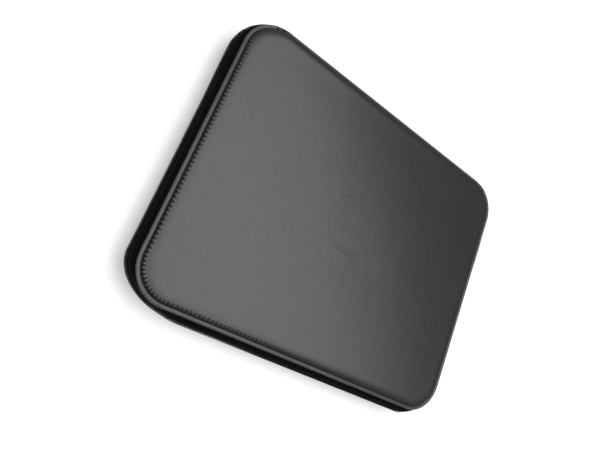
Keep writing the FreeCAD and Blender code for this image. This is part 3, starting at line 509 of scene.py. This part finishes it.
LOOKS = {
    "cover_leather": leather("cover_leather", (0.013, 0.0133, 0.0127), 0.31, puckered=True),
    "edge_leather": leather("edge_leather", (0.036, 0.036, 0.035), 0.4, 0.6),
    "pocket_leather": leather("pocket_leather", (0.026, 0.026, 0.027), 0.55),
    "pull_leather": leather("pull_leather", (0.03, 0.03, 0.03), 0.5, 0.8),
    "foam": fibre("foam", (0.6, 0.58, 0.5), 900, None),
    "greyboard": fibre("greyboard", (0.3, 0.29, 0.27), 500, (1, 3, 1)),
    "lining": woven("lining", (0.035, 0.035, 0.038), 0.9 * MM),
    "mesh": woven("mesh", (0.02, 0.02, 0.021), 1.6 * MM, depth=0.3, contrast=0.85),
    "elastic": fibre("elastic", (0.018, 0.018, 0.019), 220, (0.2, 6, 0.2), 0.8),
    "zip_tape": herringbone("zip_tape", (0.0019, 0.0015, 0.0015), 1.3 * MM, 1.5 * MM),
    "zip_teeth": plastic("zip_teeth", (0.003, 0.0027, 0.0027), 0.5, 0.01, Specular_IOR_Level=0.15),
    "slider_metal": metal("slider_metal", (0.1, 0.1, 0.105), 0.28),
    "charger_plastic": plastic("charger_plastic", (0.5, 0.5, 0.5), 0.5),
    "screw_steel": metal("screw_steel", (0.6, 0.6, 0.6), 0.3),
    "coil_copper": metal("coil_copper", (0.75, 0.36, 0.16), 0.3),
    "ferrite": fibre("ferrite", (0.05, 0.05, 0.05), 800, None, 0.7),
    "circuit_board": plastic("circuit_board", (0.01, 0.12, 0.04), 0.35, 0.02),
    "component_black": plastic("component_black", (0.02, 0.02, 0.02), 0.5),
    "pack_plastic": plastic("pack_plastic", (0.018, 0.018, 0.019), 0.42, 0.05),
    "cell_foil": metal("cell_foil", (0.6, 0.6, 0.62), 0.35),
    "socket_metal": metal("socket_metal", (0.62, 0.62, 0.63), 0.25, True),
    "light_pipe": plastic("light_pipe", (0.6, 0.72, 0.8), 0.15, 0.01),
    "button_plastic": plastic("button_plastic", (0.05, 0.05, 0.053), 0.35),
    "lead_rubber": plastic("lead_rubber", (0.015, 0.015, 0.016), 0.6, 0.05),
}
THREAD = fibre("thread", (0.005, 0.005, 0.005), 900, (4, 1, 1), 0.8)
THREAD_PALE = fibre("sewing_thread", (0.06, 0.036, 0.03), 900, (4, 1, 1), 0.7)


# ---------------------------------------------------------------------------------------------------------
# The two covers' leather: rim, valley and padded crown, and the roll over to the spine
# ---------------------------------------------------------------------------------------------------------
# Rings of the padded leather, in millimetres in from the rim, and the strips that end it at the spine
CROWN_INSETS = [2.3, 2.6, 2.75, 2.95, 3.2, 3.5, 3.85, 4.4, 5.2, 6.2, 7.4, 8.8, 10.5, 12.5, 15.0, 18.0]
CROWN_INSETS += [22.0 + 4.5 * k for k in range(17)]
SPINE_FLANGE = [1.9, 1.3, 0.6, 0.0, -0.6, -1.1, -1.5, -1.8, -1.95, -2.0]
SPINE_FACE = [8.0, 6.0, 4.0, 2.0, 0.1, 0.0]
RIM_FLANGE = [(1.9, 11.75), (1.3, 12.0), (0.6, 11.9), (0.0, 11.5), (-0.3, 11.0)]
RIM_FLANGE += [(-0.4, height) for height in (10.4, 9.8, 9.2, 8.6, 8.0, 7.0, 5.5, 4.0, 2.0, 0.1, 0.0)]


def crown_height(inset):
    """Height of the padded leather by its distance in from the rim: a round shoulder, then a slope."""
    in_from_stitch = inset - STITCH_INSET
    height = VALLEY
    for run, rise in ((SHOULDER_RUN, SHOULDER_TOP - VALLEY), (SLOPE_RUN, SLOPE_TOP - SHOULDER_TOP)):
        t = min(1.0, max(0.0, in_from_stitch / run))
        height += rise * (1 - (1 - t) ** 2.2)
    return height


def dome(x, y):
    """How far the middle of a cover stands over the top of its slope."""
    u = min(1.0, abs(x) / (RIM_X - STITCH_INSET))
    v = min(1.0, abs(y) / (RIM_Y - STITCH_INSET))
    return (CROWN - SLOPE_TOP) * (1 - u ** 2.6) * (1 - v ** 2.6)


def spine_height(inset):
    """Height of the leather where it rolls over to the spine instead."""
    t = min(1.0, max(0.0, (SPINE_ROLL - SPINE_STAND - inset) / SPINE_ROLL))
    return SLOPE_TOP - SPINE_DROP + SPINE_DROP * math.sqrt(1 - t ** 2)


def spine_share(i):
    """1 where the leather rolls over to the spine, 0 where it ends in the rim."""
    if RIM[i][0] > SPINE_SIDE_X:
        return 0.0
    return smooth((RIM_END_Y - abs(RIM[i][1])) / RIM_END_RUN)


def unevenness(x, y, seed):
    """How far the padding falls short of its full height: in wide waves and in fine ones on top."""
    short = 0.0
    for scale, shift, depth in ((22, 0, 0.16 * MM), (75, 9, 0.05 * MM)):
        short += (0.5 + 0.5 * noise.noise(Vector((x * scale, y * scale, seed + shift)))) * depth
    return short


def cover_leather(name, side, replaced, seed):
    """One cover's leather, from the middle of the spine over the fold and across the padding to the rim."""
    shape = Shape()
    shares = [spine_share(i) for i in range(RIM_COUNT)]
    rows = []
    places = []
    for inset in [v * MM for v in CROWN_INSETS]:
        ring, _ = outline(RIM_X, RIM_Y, RIM_RADIUS, inset)
        row = []
        places.append([(RIM_RUN[i], inset + 0.2 * shares[i]) for i in range(RIM_COUNT)])
        for i, (x, y) in enumerate(ring):
            height = crown_height(inset) * (1 - shares[i]) + spine_height(inset) * shares[i]
            settle = smooth((inset - 6 * MM) / (10 * MM))
            height += dome(x, y) - unevenness(x, y, seed) * settle
            row.append((x, y, MIDDLE + side * height))
        rows.append(row)
    shape.add_rows(rows, places, closed_rows=True)
    shape.faces.append(tuple(len(shape.points) - RIM_COUNT + i for i in range(RIM_COUNT)))

    indices = on_spine(RIM_END_Y)
    flange = [(v * MM, spine_height(v * MM)) for v in SPINE_FLANGE]
    flange += [(-SPINE_STAND, v * MM) for v in SPINE_FACE]
    first = len(shape.points)
    for k, (inset, height) in enumerate(flange):
        edge_inset, edge_height = RIM_FLANGE[k]
        for i in indices:
            w = shares[i]
            x, y = RIM[i] - (inset * w + edge_inset * MM * (1 - w)) * RIM_NORMALS[i]
            z = MIDDLE + side * (height * w + edge_height * MM * (1 - w))
            shape.points.append((x, y, z))
            shape.places.append((0.0, 1.0))
    width = len(indices)
    for j in range(width - 1):
        shape.faces.append((indices[j + 1], indices[j], first + j, first + j + 1))
        for k in range(len(flange) - 1):
            a = first + k * width + j
            shape.faces.append((a + 1, a, a + width, a + width + 1))
    cover = shape.make(name, LOOKS["cover_leather"], replaces=replaced, flip=side < 0)
    swell(cover, side)
    wall = cover.modifiers.new("wall", "SOLIDIFY")
    wall.thickness = LEATHER_WALL
    wall.offset = -1
    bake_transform(cover)
    return cover


def swell(cover, side):
    """Lets the leather settle over its padding as cloth, held at the rim seam and at the spine."""
    mesh = cover.data
    rest = np.empty(len(mesh.vertices) * 3, np.float32)
    mesh.vertices.foreach_get("co", rest)
    rest = rest.reshape(-1, 3)
    held = cover.vertex_groups.new(name="held")
    for i, (x, y, z) in enumerate(rest):
        depth = min(RIM_X - abs(x), RIM_Y - abs(y))
        hold = 1 - smooth((depth - CLOTH_HELD_TO) / CLOTH_HELD_FADE)
        if x < -(RIM_X - CLOTH_HELD_AT_SPINE):
            hold = 1.0
        held.add([i], max(0.02, hold), "REPLACE")
    cloth = cover.modifiers.new("cloth", "CLOTH")
    settings = cloth.settings
    settings.quality = 5
    settings.mass = 0.4
    settings.tension_stiffness = 20
    settings.compression_stiffness = 20
    settings.bending_stiffness = 6
    settings.vertex_group_mass = "held"
    settings.pin_stiffness = 1
    settings.shrink_min = 0.003
    settings.use_pressure = True
    settings.uniform_pressure_force = 1.5
    settings.effector_weights.gravity = 0
    cloth.collision_settings.use_self_collision = False
    scene = bpy.context.scene
    for step in range(1, CLOTH_FRAMES + 1):
        scene.frame_set(step)
    settled = cover.evaluated_get(bpy.context.evaluated_depsgraph_get())
    moved = np.empty(len(rest) * 3, np.float32)
    settled.to_mesh().vertices.foreach_get("co", moved)
    moved = moved.reshape(-1, 3)
    settled.to_mesh_clear()
    cover.modifiers.remove(cloth)
    scene.frame_set(1)
    change = moved - rest
    length = np.linalg.norm(change, axis=1)[:, None]
    change *= min(1.0, CLOTH_CAP / max(float(np.percentile(length, 99)), 1e-9))
    change *= np.minimum(1.0, CLOTH_CAP / np.maximum(np.linalg.norm(change, axis=1)[:, None], 1e-9))
    result = rest + change
    top = MIDDLE + side * CROWN
    result[:, 2] = np.minimum(result[:, 2], top) if side > 0 else np.maximum(result[:, 2], top)
    mesh.vertices.foreach_set("co", result.ravel())
    mesh.update()
    print(f"{cover.name}: cloth moved {float(length.max()) / MM:.2f} mm at most, {CLOTH_CAP / MM:.2f} kept")


def edge_binding(name, side, body, replaced):
    """The turned leather bead round the three open sides, and the stitches along its inner edge."""
    top = RIM_TOP
    low = TAPE_TOP
    profile = [
        (RIM_WIDTH + 0.2 * MM, low), (RIM_WIDTH + 0.2 * MM, VALLEY - 0.3 * MM), (RIM_WIDTH, top - 0.65 * MM),
        (1.85 * MM, top - 0.15 * MM), (1.2 * MM, top), (0.5 * MM, top), (0.0 * MM, top - 0.3 * MM),
        (-0.35 * MM, top - 0.85 * MM), (-0.35 * MM, top - 1.4 * MM), (0.1 * MM, low),
    ]
    shape = Shape()
    sweep(shape, off_spine(RIM_END_Y - 2.5 * MM), lambda x, y: profile, side)
    shape.make(name, LOOKS["edge_leather"], body, replaced, flip=side > 0)

    half = STITCH_LENGTH / 2
    thread = Shape()
    start = RIM_RUN[off_spine(RIM_END_Y)[0]] + 2 * MM
    end = RIM_RUN[off_spine(RIM_END_Y)[-1]] - 2 * MM
    height = crown_height(STITCH_INSET) + 0.1 * MM
    for k in range(math.ceil((start + half) / STITCH_PITCH), int((end - half) / STITCH_PITCH) + 1):
        run = STITCH_PITCH * k
        rise = np.array([0, 0, side]) - 0.2 * rim_normal(run)
        begin = rim_place(run - half, STITCH_INSET, side * height)
        finish = rim_place(run + half, STITCH_INSET, side * height)
        add_stitch(thread, begin, finish, rise / np.linalg.norm(rise), RIM_THREAD)
    for run in (start - 0.9 * MM, end + 0.9 * MM):
        for k in range(5):
            place = run + 0.45 * MM * (k - 2)
            outer = rim_place(place, 1.2 * MM, side * (top + 0.05 * MM))
            inner = rim_place(place, STITCH_INSET + 0.9 * MM, side * (SHOULDER_TOP - 0.5 * MM))
            add_stitch(thread, outer, inner, (0, 0, side), TACK_THREAD)
    thread.make(name.replace("binding", "stitching"), THREAD, body)


# ---------------------------------------------------------------------------------------------------------
# Zip: woven tapes, nylon coils and the thread that sews them on
# ---------------------------------------------------------------------------------------------------------
def zip_tape(name, side, body, replaced):
    """A tape: flat under the rim, round the bulge, and straight to the coil."""
    steps = 8
    margin = 7 * MM
    centre = TAPE_TOP - BULGE

    def profile_at(x, y):
        bulge = bulge_at(x, y)
        outer = [(margin, TAPE_TOP), (3 * MM, TAPE_TOP)]
        inner = [(margin, TAPE_TOP - TAPE_WALL), (3 * MM, TAPE_TOP - TAPE_WALL)]
        for k in range(steps + 1):
            a = math.pi / 2 * k / steps
            outer.append((-bulge * math.sin(a), centre + BULGE * math.cos(a)))
            small = bulge - TAPE_WALL
            inner.append((-small * math.sin(a), centre + (BULGE - TAPE_WALL) * math.cos(a)))
        outer += [(-bulge, (centre + TAPE_EDGE) / 2), (-bulge, TAPE_EDGE)]
        inner += [(-bulge + TAPE_WALL, (centre + TAPE_EDGE) / 2), (-bulge + TAPE_WALL, TAPE_EDGE)]
        return outer + inner[::-1]

    shape = Shape()
    sweep(shape, off_spine(TAPE_END_Y), profile_at, side)
    shape.make(name, LOOKS["zip_tape"], body, replaced, flip=side < 0)


def zip_coil(name, side, body, replaced):
    """A row of teeth: one nylon monofilament wound in flat loops, and the thread that sews it on."""
    pitch = 1.5 * MM
    per_turn = 8
    wire = 0.26 * MM
    low = TAPE_EDGE - 0.2 * MM
    high = teeth_high.z - MIDDLE
    clear = 0.62 * MM
    seam = clear + 0.4 * MM
    spots = [(run, *rim_place(run, 0, 0)[:2]) for run in RIM_RUN]
    start = next(run for run, x, y in spots if y < COIL_START_Y)
    finish = [run for run, x, y in spots if y > 0 and x > CHAIN_END_X + MM][-1]
    turns = int((finish - start) / pitch)
    line = []
    ups = []
    for k in range(turns * per_turn + 1):
        run = start + pitch * k / per_turn
        a = 2 * math.pi * k / per_turn + (math.pi if side < 0 else 0)
        lift = (low + high) / 2 + (high - low - 0.6 * MM) / 2 * math.cos(a)
        reach = bulge_at(*rim_place(run, 0, 0)[:2]) + clear + 0.42 * MM * math.sin(a)
        line.append(rim_place(run, -reach, side * lift))
        ahead = rim_place(run + 0.1 * MM, 0, 0) - rim_place(run, 0, 0)
        ups.append(ahead / np.linalg.norm(ahead))
    shape = Shape()
    shape.add_tube(line, wire, sides=5, up=np.array(ups) + 1e-4)
    shape.make(name, LOOKS["zip_teeth"], body, replaced)

    thread = Shape()
    for k in range(turns):
        run = start + pitch * (k + 0.2)
        out = bulge_at(*rim_place(run, 0, 0)[:2]) + seam
        for height, reach in ((high - 0.75 * MM, out), (high - 1.5 * MM, out + 0.04 * MM)):
            begin = rim_place(run, -reach, side * height)
            end = rim_place(run + 0.8 * pitch, -reach, side * (height + 0.15 * MM))
            add_stitch(thread, begin, end, rim_normal(run), TAPE_THREAD)
    thread.make(name.replace("coil", "thread"), THREAD_PALE, body)


# ---------------------------------------------------------------------------------------------------------
# Soft things inside: pockets, elastic, linings
# ---------------------------------------------------------------------------------------------------------
def soft_panel(name, node, side, body, look, radius, puff, open_top=True):
    """A sewn-down panel with a turned edge, slightly full in its middle; side is the way it faces."""
    low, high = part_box(node)
    middle = (low + high) / 2
    half_x = (high.x - low.x) / 2
    half_y = (high.y - low.y) / 2
    base = low.z if side > 0 else high.z
    thick = high.z - low.z
    steps = [(0, 0), (0, 0.6), (0.25, 0.9), (0.7, 1.0), (1.3, 0.82), (1.9, 0.82), (2.4, 1.0)]
    steps += [(4, 1.0), (8, 1.0)]
    shape = Shape()
    rows = []
    for inset, height in steps:
        ring, _ = outline(half_x, half_y, radius, inset * MM, step=6 * MM, corner_steps=6)
        rows.append([(middle.x + x, middle.y + y, base + side * thick * height) for x, y in ring])
    depth = min(half_x, half_y)
    for k in range(1, 7):
        inset = 8 * MM + (depth - 10 * MM) * k / 6
        ring, _ = outline(half_x, half_y, radius, inset, step=6 * MM, corner_steps=6)
        full = smooth(k / 6) * puff
        row = []
        for x, y in ring:
            swell_share = 0.8 + 0.4 * noise.noise(Vector((x * 40, y * 40, 2)))
            row.append((middle.x + x, middle.y + y, base + side * (thick + full * swell_share)))
        rows.append(row)
    shape.add_rows(rows, closed_rows=True, closed_ends=True)
    shape.make(name, LOOKS[look], body, (node,), flip=side < 0)

    thread = Shape()
    ring, _ = outline(half_x, half_y, radius, 1.6 * MM, step=3 * MM, corner_steps=3)
    z = base + side * (thick * 0.82 + 0.05 * MM)
    for i in range(len(ring)):
        a = ring[i]
        b = ring[(i + 1) % len(ring)]
        if open_top and min(a[1], b[1]) > half_y - 3 * MM:
            continue
        short = a + (b - a) * 0.75
        begin = (middle.x + a[0], middle.y + a[1], z)
        end = (middle.x + short[0], middle.y + short[1], z)
        add_stitch(thread, begin, end, (0, 0, side), LINING_THREAD)
    thread.make(name + "_stitching", THREAD, body)


def band(name, line, y, width, wall, body, node):
    """A ribbed elastic band bent along a line in the XZ plane."""
    line = np.array(line, float)
    along = np.gradient(line, axis=0)
    along /= np.linalg.norm(along, axis=1)[:, None]
    normals = np.stack([-along[:, 1], along[:, 0]], axis=1)
    section = []
    ribs = 9
    for k in range(ribs * 2 + 1):
        t = k / (ribs * 2)
        section.append((t, 0.5 if k % 2 else 0.38))
    section += [(t, -h) for t, h in reversed(section)]
    rows = []
    for (x, z), (out_x, out_z) in zip(line, normals):
        rows.append([(x + out_x * h * wall, y + width * (t - 0.5), z + out_z * h * wall) for t, h in section])
    shape = Shape()
    shape.add_rows(rows, closed_rows=True, closed_ends=True)
    shape.make(name, LOOKS["elastic"], body, (node,), flip=True)


def straps():
    """The two elastic straps that hold the battery pack, and the pen loop."""
    for node in ("battery_strap_lower", "battery_strap_upper"):
        low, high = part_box(node)
        wall = 0.8 * MM
        bend = 2.4 * MM
        left = low.x + wall / 2
        right = high.x - wall / 2
        bottom = low.z + wall / 2
        line = [(left, high.z), (left, (high.z + bottom) / 2)]
        line += [(left + bend * (1 - math.cos(a)), bottom + bend * (1 - math.sin(a)))
                 for a in [math.pi / 2 * k / 6 for k in range(7)]]
        middle = (left + right) / 2
        line += [(middle, bottom)]
        line += [(2 * middle - x, z) for x, z in reversed(line[:-1])]
        band(node + "_elastic", line, (low.y + high.y) / 2, high.y - low.y, wall, "front_cover", node)
    low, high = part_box("pen_loop")
    wall = 0.8 * MM
    x = (low.x + high.x) / 2
    radius = (high.z - low.z) / 2 - wall / 2
    z = high.z - wall / 2 - radius
    foot = low.z + wall / 2
    line = [(low.x, foot), (x - 2.6 * MM, foot)]
    for k in range(25):
        a = math.radians(-112 - 316 * k / 24)
        line.append((x + radius * math.cos(a), z + radius * math.sin(a)))
    line += [(x + 2.6 * MM, foot), (high.x, foot)]
    band("pen_loop_elastic", line, (low.y + high.y) / 2, high.y - low.y, wall, "back_cover", "pen_loop")


def hinge_lining(name, side, replaced):
    """Lining cloth across the inside of a fold, from the cover's lining to the middle of the spine."""
    inside = -(RIM_X - 1.3 * MM)
    profile = [(-(RIM_X - 6 * MM), 7.02), (-(RIM_X - 4 * MM), 6.95), (-(RIM_X - 2.4 * MM), 6.5),
               (inside, 5.6), (inside, 4.2), (inside, 2.0), (inside, 0.0)]
    length = RIM_END_Y - 3 * MM
    count = 60
    shape = Shape()
    rows = []
    for k in range(count + 1):
        y = -length + 2 * length * k / count
        ripple = 0.15 * MM * noise.noise(Vector((y * 90, side, 0)))
        rows.append([(x + (ripple if 0 < h < 6.9 else 0), y, MIDDLE + side * h * MM) for x, h in profile])
    shape.add_rows(rows)
    cloth = shape.make(name, LOOKS["lining"], replaces=replaced, flip=side < 0)
    wall = cloth.modifiers.new("wall", "SOLIDIFY")
    wall.thickness = 0.35 * MM
    wall.offset = 0
    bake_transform(cloth)


def lining_edge(name, side, body):
    """The lining's margin, turned over the edge of its board round the three open sides."""
    profile = [(3.6, 7.04), (2.4, 6.95), (1.75, 7.25), (1.6, 7.8), (1.6, 9.35),
               (1.95, 9.35), (1.95, 7.9), (2.3, 7.4), (3.6, 7.3)]
    shape = Shape()
    sweep(shape, off_spine(RIM_END_Y - 3 * MM), lambda x, y: [(i * MM, h * MM) for i, h in profile], side)
    shape.make(name, LOOKS["lining"], body, flip=side < 0)


def lining_stitches(name, side, body):
    """The seam that shows through a cover's lining, a little in from its edge."""
    node = "front_lining" if side > 0 else "back_lining"
    low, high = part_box(node)
    z = low.z if side > 0 else high.z
    shape = Shape()
    ring, _ = outline(high.x, high.y, RIM_RADIUS - RIM_WIDTH, 2 * MM, step=3.2 * MM, corner_steps=11)
    for i in range(len(ring)):
        a = ring[i]
        b = ring[(i + 1) % len(ring)]
        short = a + (b - a) * 0.72
        add_stitch(shape, (a[0], a[1], z), (short[0], short[1], z), (0, 0, -side), LINING_THREAD)
    shape.make(name, THREAD, body)


# ---------------------------------------------------------------------------------------------------------
# Charging mark, slider pull and other small things
# ---------------------------------------------------------------------------------------------------------
def charging_mark(cover):
    """A thin raised ring over the coil, lying on the leather, which shows where the phone goes."""
    places = [v.co for v in cover.data.vertices]
    surface = BVHTree.FromPolygons(places, [p.vertices for p in cover.data.polygons])
    low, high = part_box("charging_coil")
    x = (low.x + high.x) / 2
    y = (low.y + high.y) / 2
    shape = Shape()
    profile = [(21.2, -0.3), (21.4, -0.02), (21.7, 0.06), (22.3, 0.06), (22.6, -0.02), (22.8, -0.3)]
    rows = []
    count = 96
    for k in range(count + 1):
        a = 2 * math.pi * k / count
        row = []
        for r, h in profile:
            above = Vector((x + r * MM * math.cos(a), y + r * MM * math.sin(a), cad_high.z + 0.01))
            hit = surface.ray_cast(above, Vector((0, 0, -1)))[0]
            row.append((hit.x, hit.y, hit.z + h * MM))
        rows.append(row)
    plain = [[(0.0, 1.0)] * len(profile)] * len(rows)
    shape.add_rows(rows, plain, closed_rows=True)
    shape.make("charging_ring_mark", LOOKS["cover_leather"], "front_cover", flip=True)


def pull_grip():
    """The leather tab folded over the slider's pull, stitched along both sides."""
    low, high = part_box("pull_grip")
    middle = (low + high) / 2
    half_x = (high.x - low.x) / 2
    half_z = (high.z - low.z) / 2
    half_y = (high.y - low.y) / 2
    shape = Shape()
    rows = []
    section = [(0.0, 0.25), (0.0, 0.75), (0.5, 1.0), (1.1, 0.88), (1.6, 0.88), (2.2, 1.0), (3.2, 1.0)]
    full = [(inset, -h) for inset, h in reversed(section)] + section
    for inset, height in full:
        ring, _ = outline(half_x, half_z, 2.4 * MM, inset * MM, step=2 * MM, corner_steps=5)
        rows.append([(middle.x + x, middle.y + half_y * height, middle.z + z) for x, z in ring])
    shape.add_rows(rows, closed_rows=True, closed_ends=True)
    shape.make("pull_grip_leather", LOOKS["pull_leather"], "pull_tab", ("pull_grip",))
    thread = Shape()
    ring, _ = outline(half_x, half_z, 2.4 * MM, 1.35 * MM, step=2 * MM, corner_steps=2)
    for way in (1, -1):
        y = middle.y + way * half_y * 0.88
        for i in range(len(ring)):
            a = ring[i]
            b = ring[(i + 1) % len(ring)]
            short = a + (b - a) * 0.7
            begin = (middle.x + a[0], y, middle.z + a[1])
            end = (middle.x + short[0], y, middle.z + short[1])
            add_stitch(thread, begin, end, (0, way, 0), GRIP_THREAD)
    thread.make("pull_grip_stitching", THREAD, "pull_tab")


def dress_nodes():
    """Gives each carried-over node its finish, and softens its machined edges."""
    slots = {entry["node"]: entry["material_slot"] for entry in frame["record"]["subparts"]}
    # Widths of the bevels, in millimetres
    softened = {
        "zip_slider": 0.25, "pull_link": 0.2, "battery_pack_lid": 0.15, "battery_pack_tray": 0.15,
        "usb_plug_body": 0.4, "lead_outlet": 0.6, "power_button": 0.15, "charger_base_shell": 0.2,
        "charger_top_shell": 0.2, "front_top_stop": 0.15, "back_top_stop": 0.15, "usb_plug_shell": 0.1,
    }
    for name, thing in nodes.items():
        thing.data.materials.clear()
        thing.data.materials.append(LOOKS[slots[name]])
        if name in softened:
            bevel = thing.modifiers.new("soft_edge", "BEVEL")
            bevel.width = softened[name] * MM
            bevel.segments = 2
            bevel.limit_method = "ANGLE"
            bevel.angle_limit = math.radians(40)


# ---------------------------------------------------------------------------------------------------------
# Stage: floor, light and camera
# ---------------------------------------------------------------------------------------------------------
def area_light(name, place, target, width, height, watts):
    """A rectangular light that faces a target."""
    data = bpy.data.lights.new(name, "AREA")
    data.shape = "RECTANGLE"
    data.size = width
    data.size_y = height
    data.energy = watts
    lamp = bpy.data.objects.new(name, data)
    lamp.location = place
    lamp.rotation_mode = "QUATERNION"
    lamp.rotation_quaternion = (Vector(target) - Vector(place)).to_track_quat("-Z", "Y")
    bpy.context.scene.collection.objects.link(lamp)


def toward(azimuth, elevation, distance):
    """A place at a distance from the case, by the angle from +X towards +Y and the angle above the floor."""
    a = math.radians(azimuth)
    e = math.radians(elevation)
    level = distance * math.cos(e)
    return (level * math.cos(a), level * math.sin(a), distance * math.sin(e))


def stage():
    """The pale floor, the studio light and the photo's camera."""
    floor_mesh = bpy.data.meshes.new("floor")
    half = 4.0
    corners = [(-half, -half, 0), (half, -half, 0), (half, half, 0), (-half, half, 0)]
    floor_mesh.from_pydata(corners, [], [(0, 1, 2, 3)])
    floor = bpy.data.objects.new("floor", floor_mesh)
    floor.location.z = -0.0002
    paint = Finish("floor_paint", (0.88, 0.88, 0.88), 0.7, Specular_IOR_Level=0.2)
    paint.tint(paint.spread(paint.noise(3, 2), 0, 1), 0.99, 1.0)
    floor_mesh.materials.append(paint.material)
    bpy.context.scene.collection.objects.link(floor)

    scene = bpy.context.scene
    scene.view_settings.view_transform = "Standard"
    world = bpy.data.worlds.new("studio")
    world.use_nodes = True
    world.node_tree.nodes["Background"].inputs["Color"].default_value = (1, 1, 1, 1)
    world.node_tree.nodes["Background"].inputs["Strength"].default_value = 0.2
    scene.world = world
    centre = (0, 0, MIDDLE)
    area_light("sheen_light", toward(122, 74, 1.3), centre, 1.6, 1.0, 17.5)
    area_light("front_light", toward(-62, 58, 1.6), centre, 1.1, 1.1, 16.0)

    camera_place = Vector((104.44, -199.28, 322.25)) * MM
    camera_target = Vector((16.51, -44.81, 30.0)) * MM
    roll = math.radians(-86.27)
    ahead = (camera_target - camera_place).normalized()
    data = bpy.data.cameras.new("camera")
    data.lens = 29.49
    data.sensor_width = 36
    data.clip_start = 0.01
    camera = bpy.data.objects.new("camera", data)
    camera.location = camera_place
    camera.rotation_mode = "QUATERNION"
    camera.rotation_quaternion = Quaternion(ahead, roll) @ ahead.to_track_quat("-Z", "Y")
    scene.collection.objects.link(camera)
    scene.camera = camera


dress_nodes()
front_leather = cover_leather("front_cover_leather", 1,
                              ("front_cover_skin", "front_padding", "front_fold_leather", "spine_skin"), 3.0)
cover_leather("back_cover_leather", -1, ("back_cover_skin", "back_padding", "back_fold_leather"), 17.0)
edge_binding("front_edge_binding_leather", 1, "front_cover", ("front_edge_binding",))
edge_binding("back_edge_binding_leather", -1, "back_cover", ("back_edge_binding",))
zip_tape("front_tape_woven", 1, "front_cover", ("front_zip_tape",))
zip_tape("back_tape_woven", -1, "back_cover", ("back_zip_tape",))
zip_coil("front_zip_coil", 1, "front_cover", ("front_zip_teeth",))
zip_coil("back_zip_coil", -1, "back_cover", ("back_zip_teeth",))
hinge_lining("front_hinge_lining", 1, ("spine_lining",))
hinge_lining("back_hinge_lining", -1, ())
lining_edge("front_lining_edge", 1, "front_cover")
lining_edge("back_lining_edge", -1, "back_cover")
lining_stitches("front_lining_stitching", 1, "front_cover")
lining_stitches("back_lining_stitching", -1, "back_cover")
for number in (1, 2, 3):
    soft_panel(f"card_pocket_{number}_leather", f"card_pocket_{number}", -1, "front_cover", "pocket_leather",
               3 * MM, 0.3 * MM)
soft_panel("mesh_pocket_net", "mesh_pocket", -1, "front_cover", "mesh", 6 * MM, 0.8 * MM)
soft_panel("document_pocket_leather", "document_pocket", 1, "back_cover", "pocket_leather", 18 * MM, 0.9 * MM)
straps()
pull_grip()
charging_mark(front_leather)
stage()
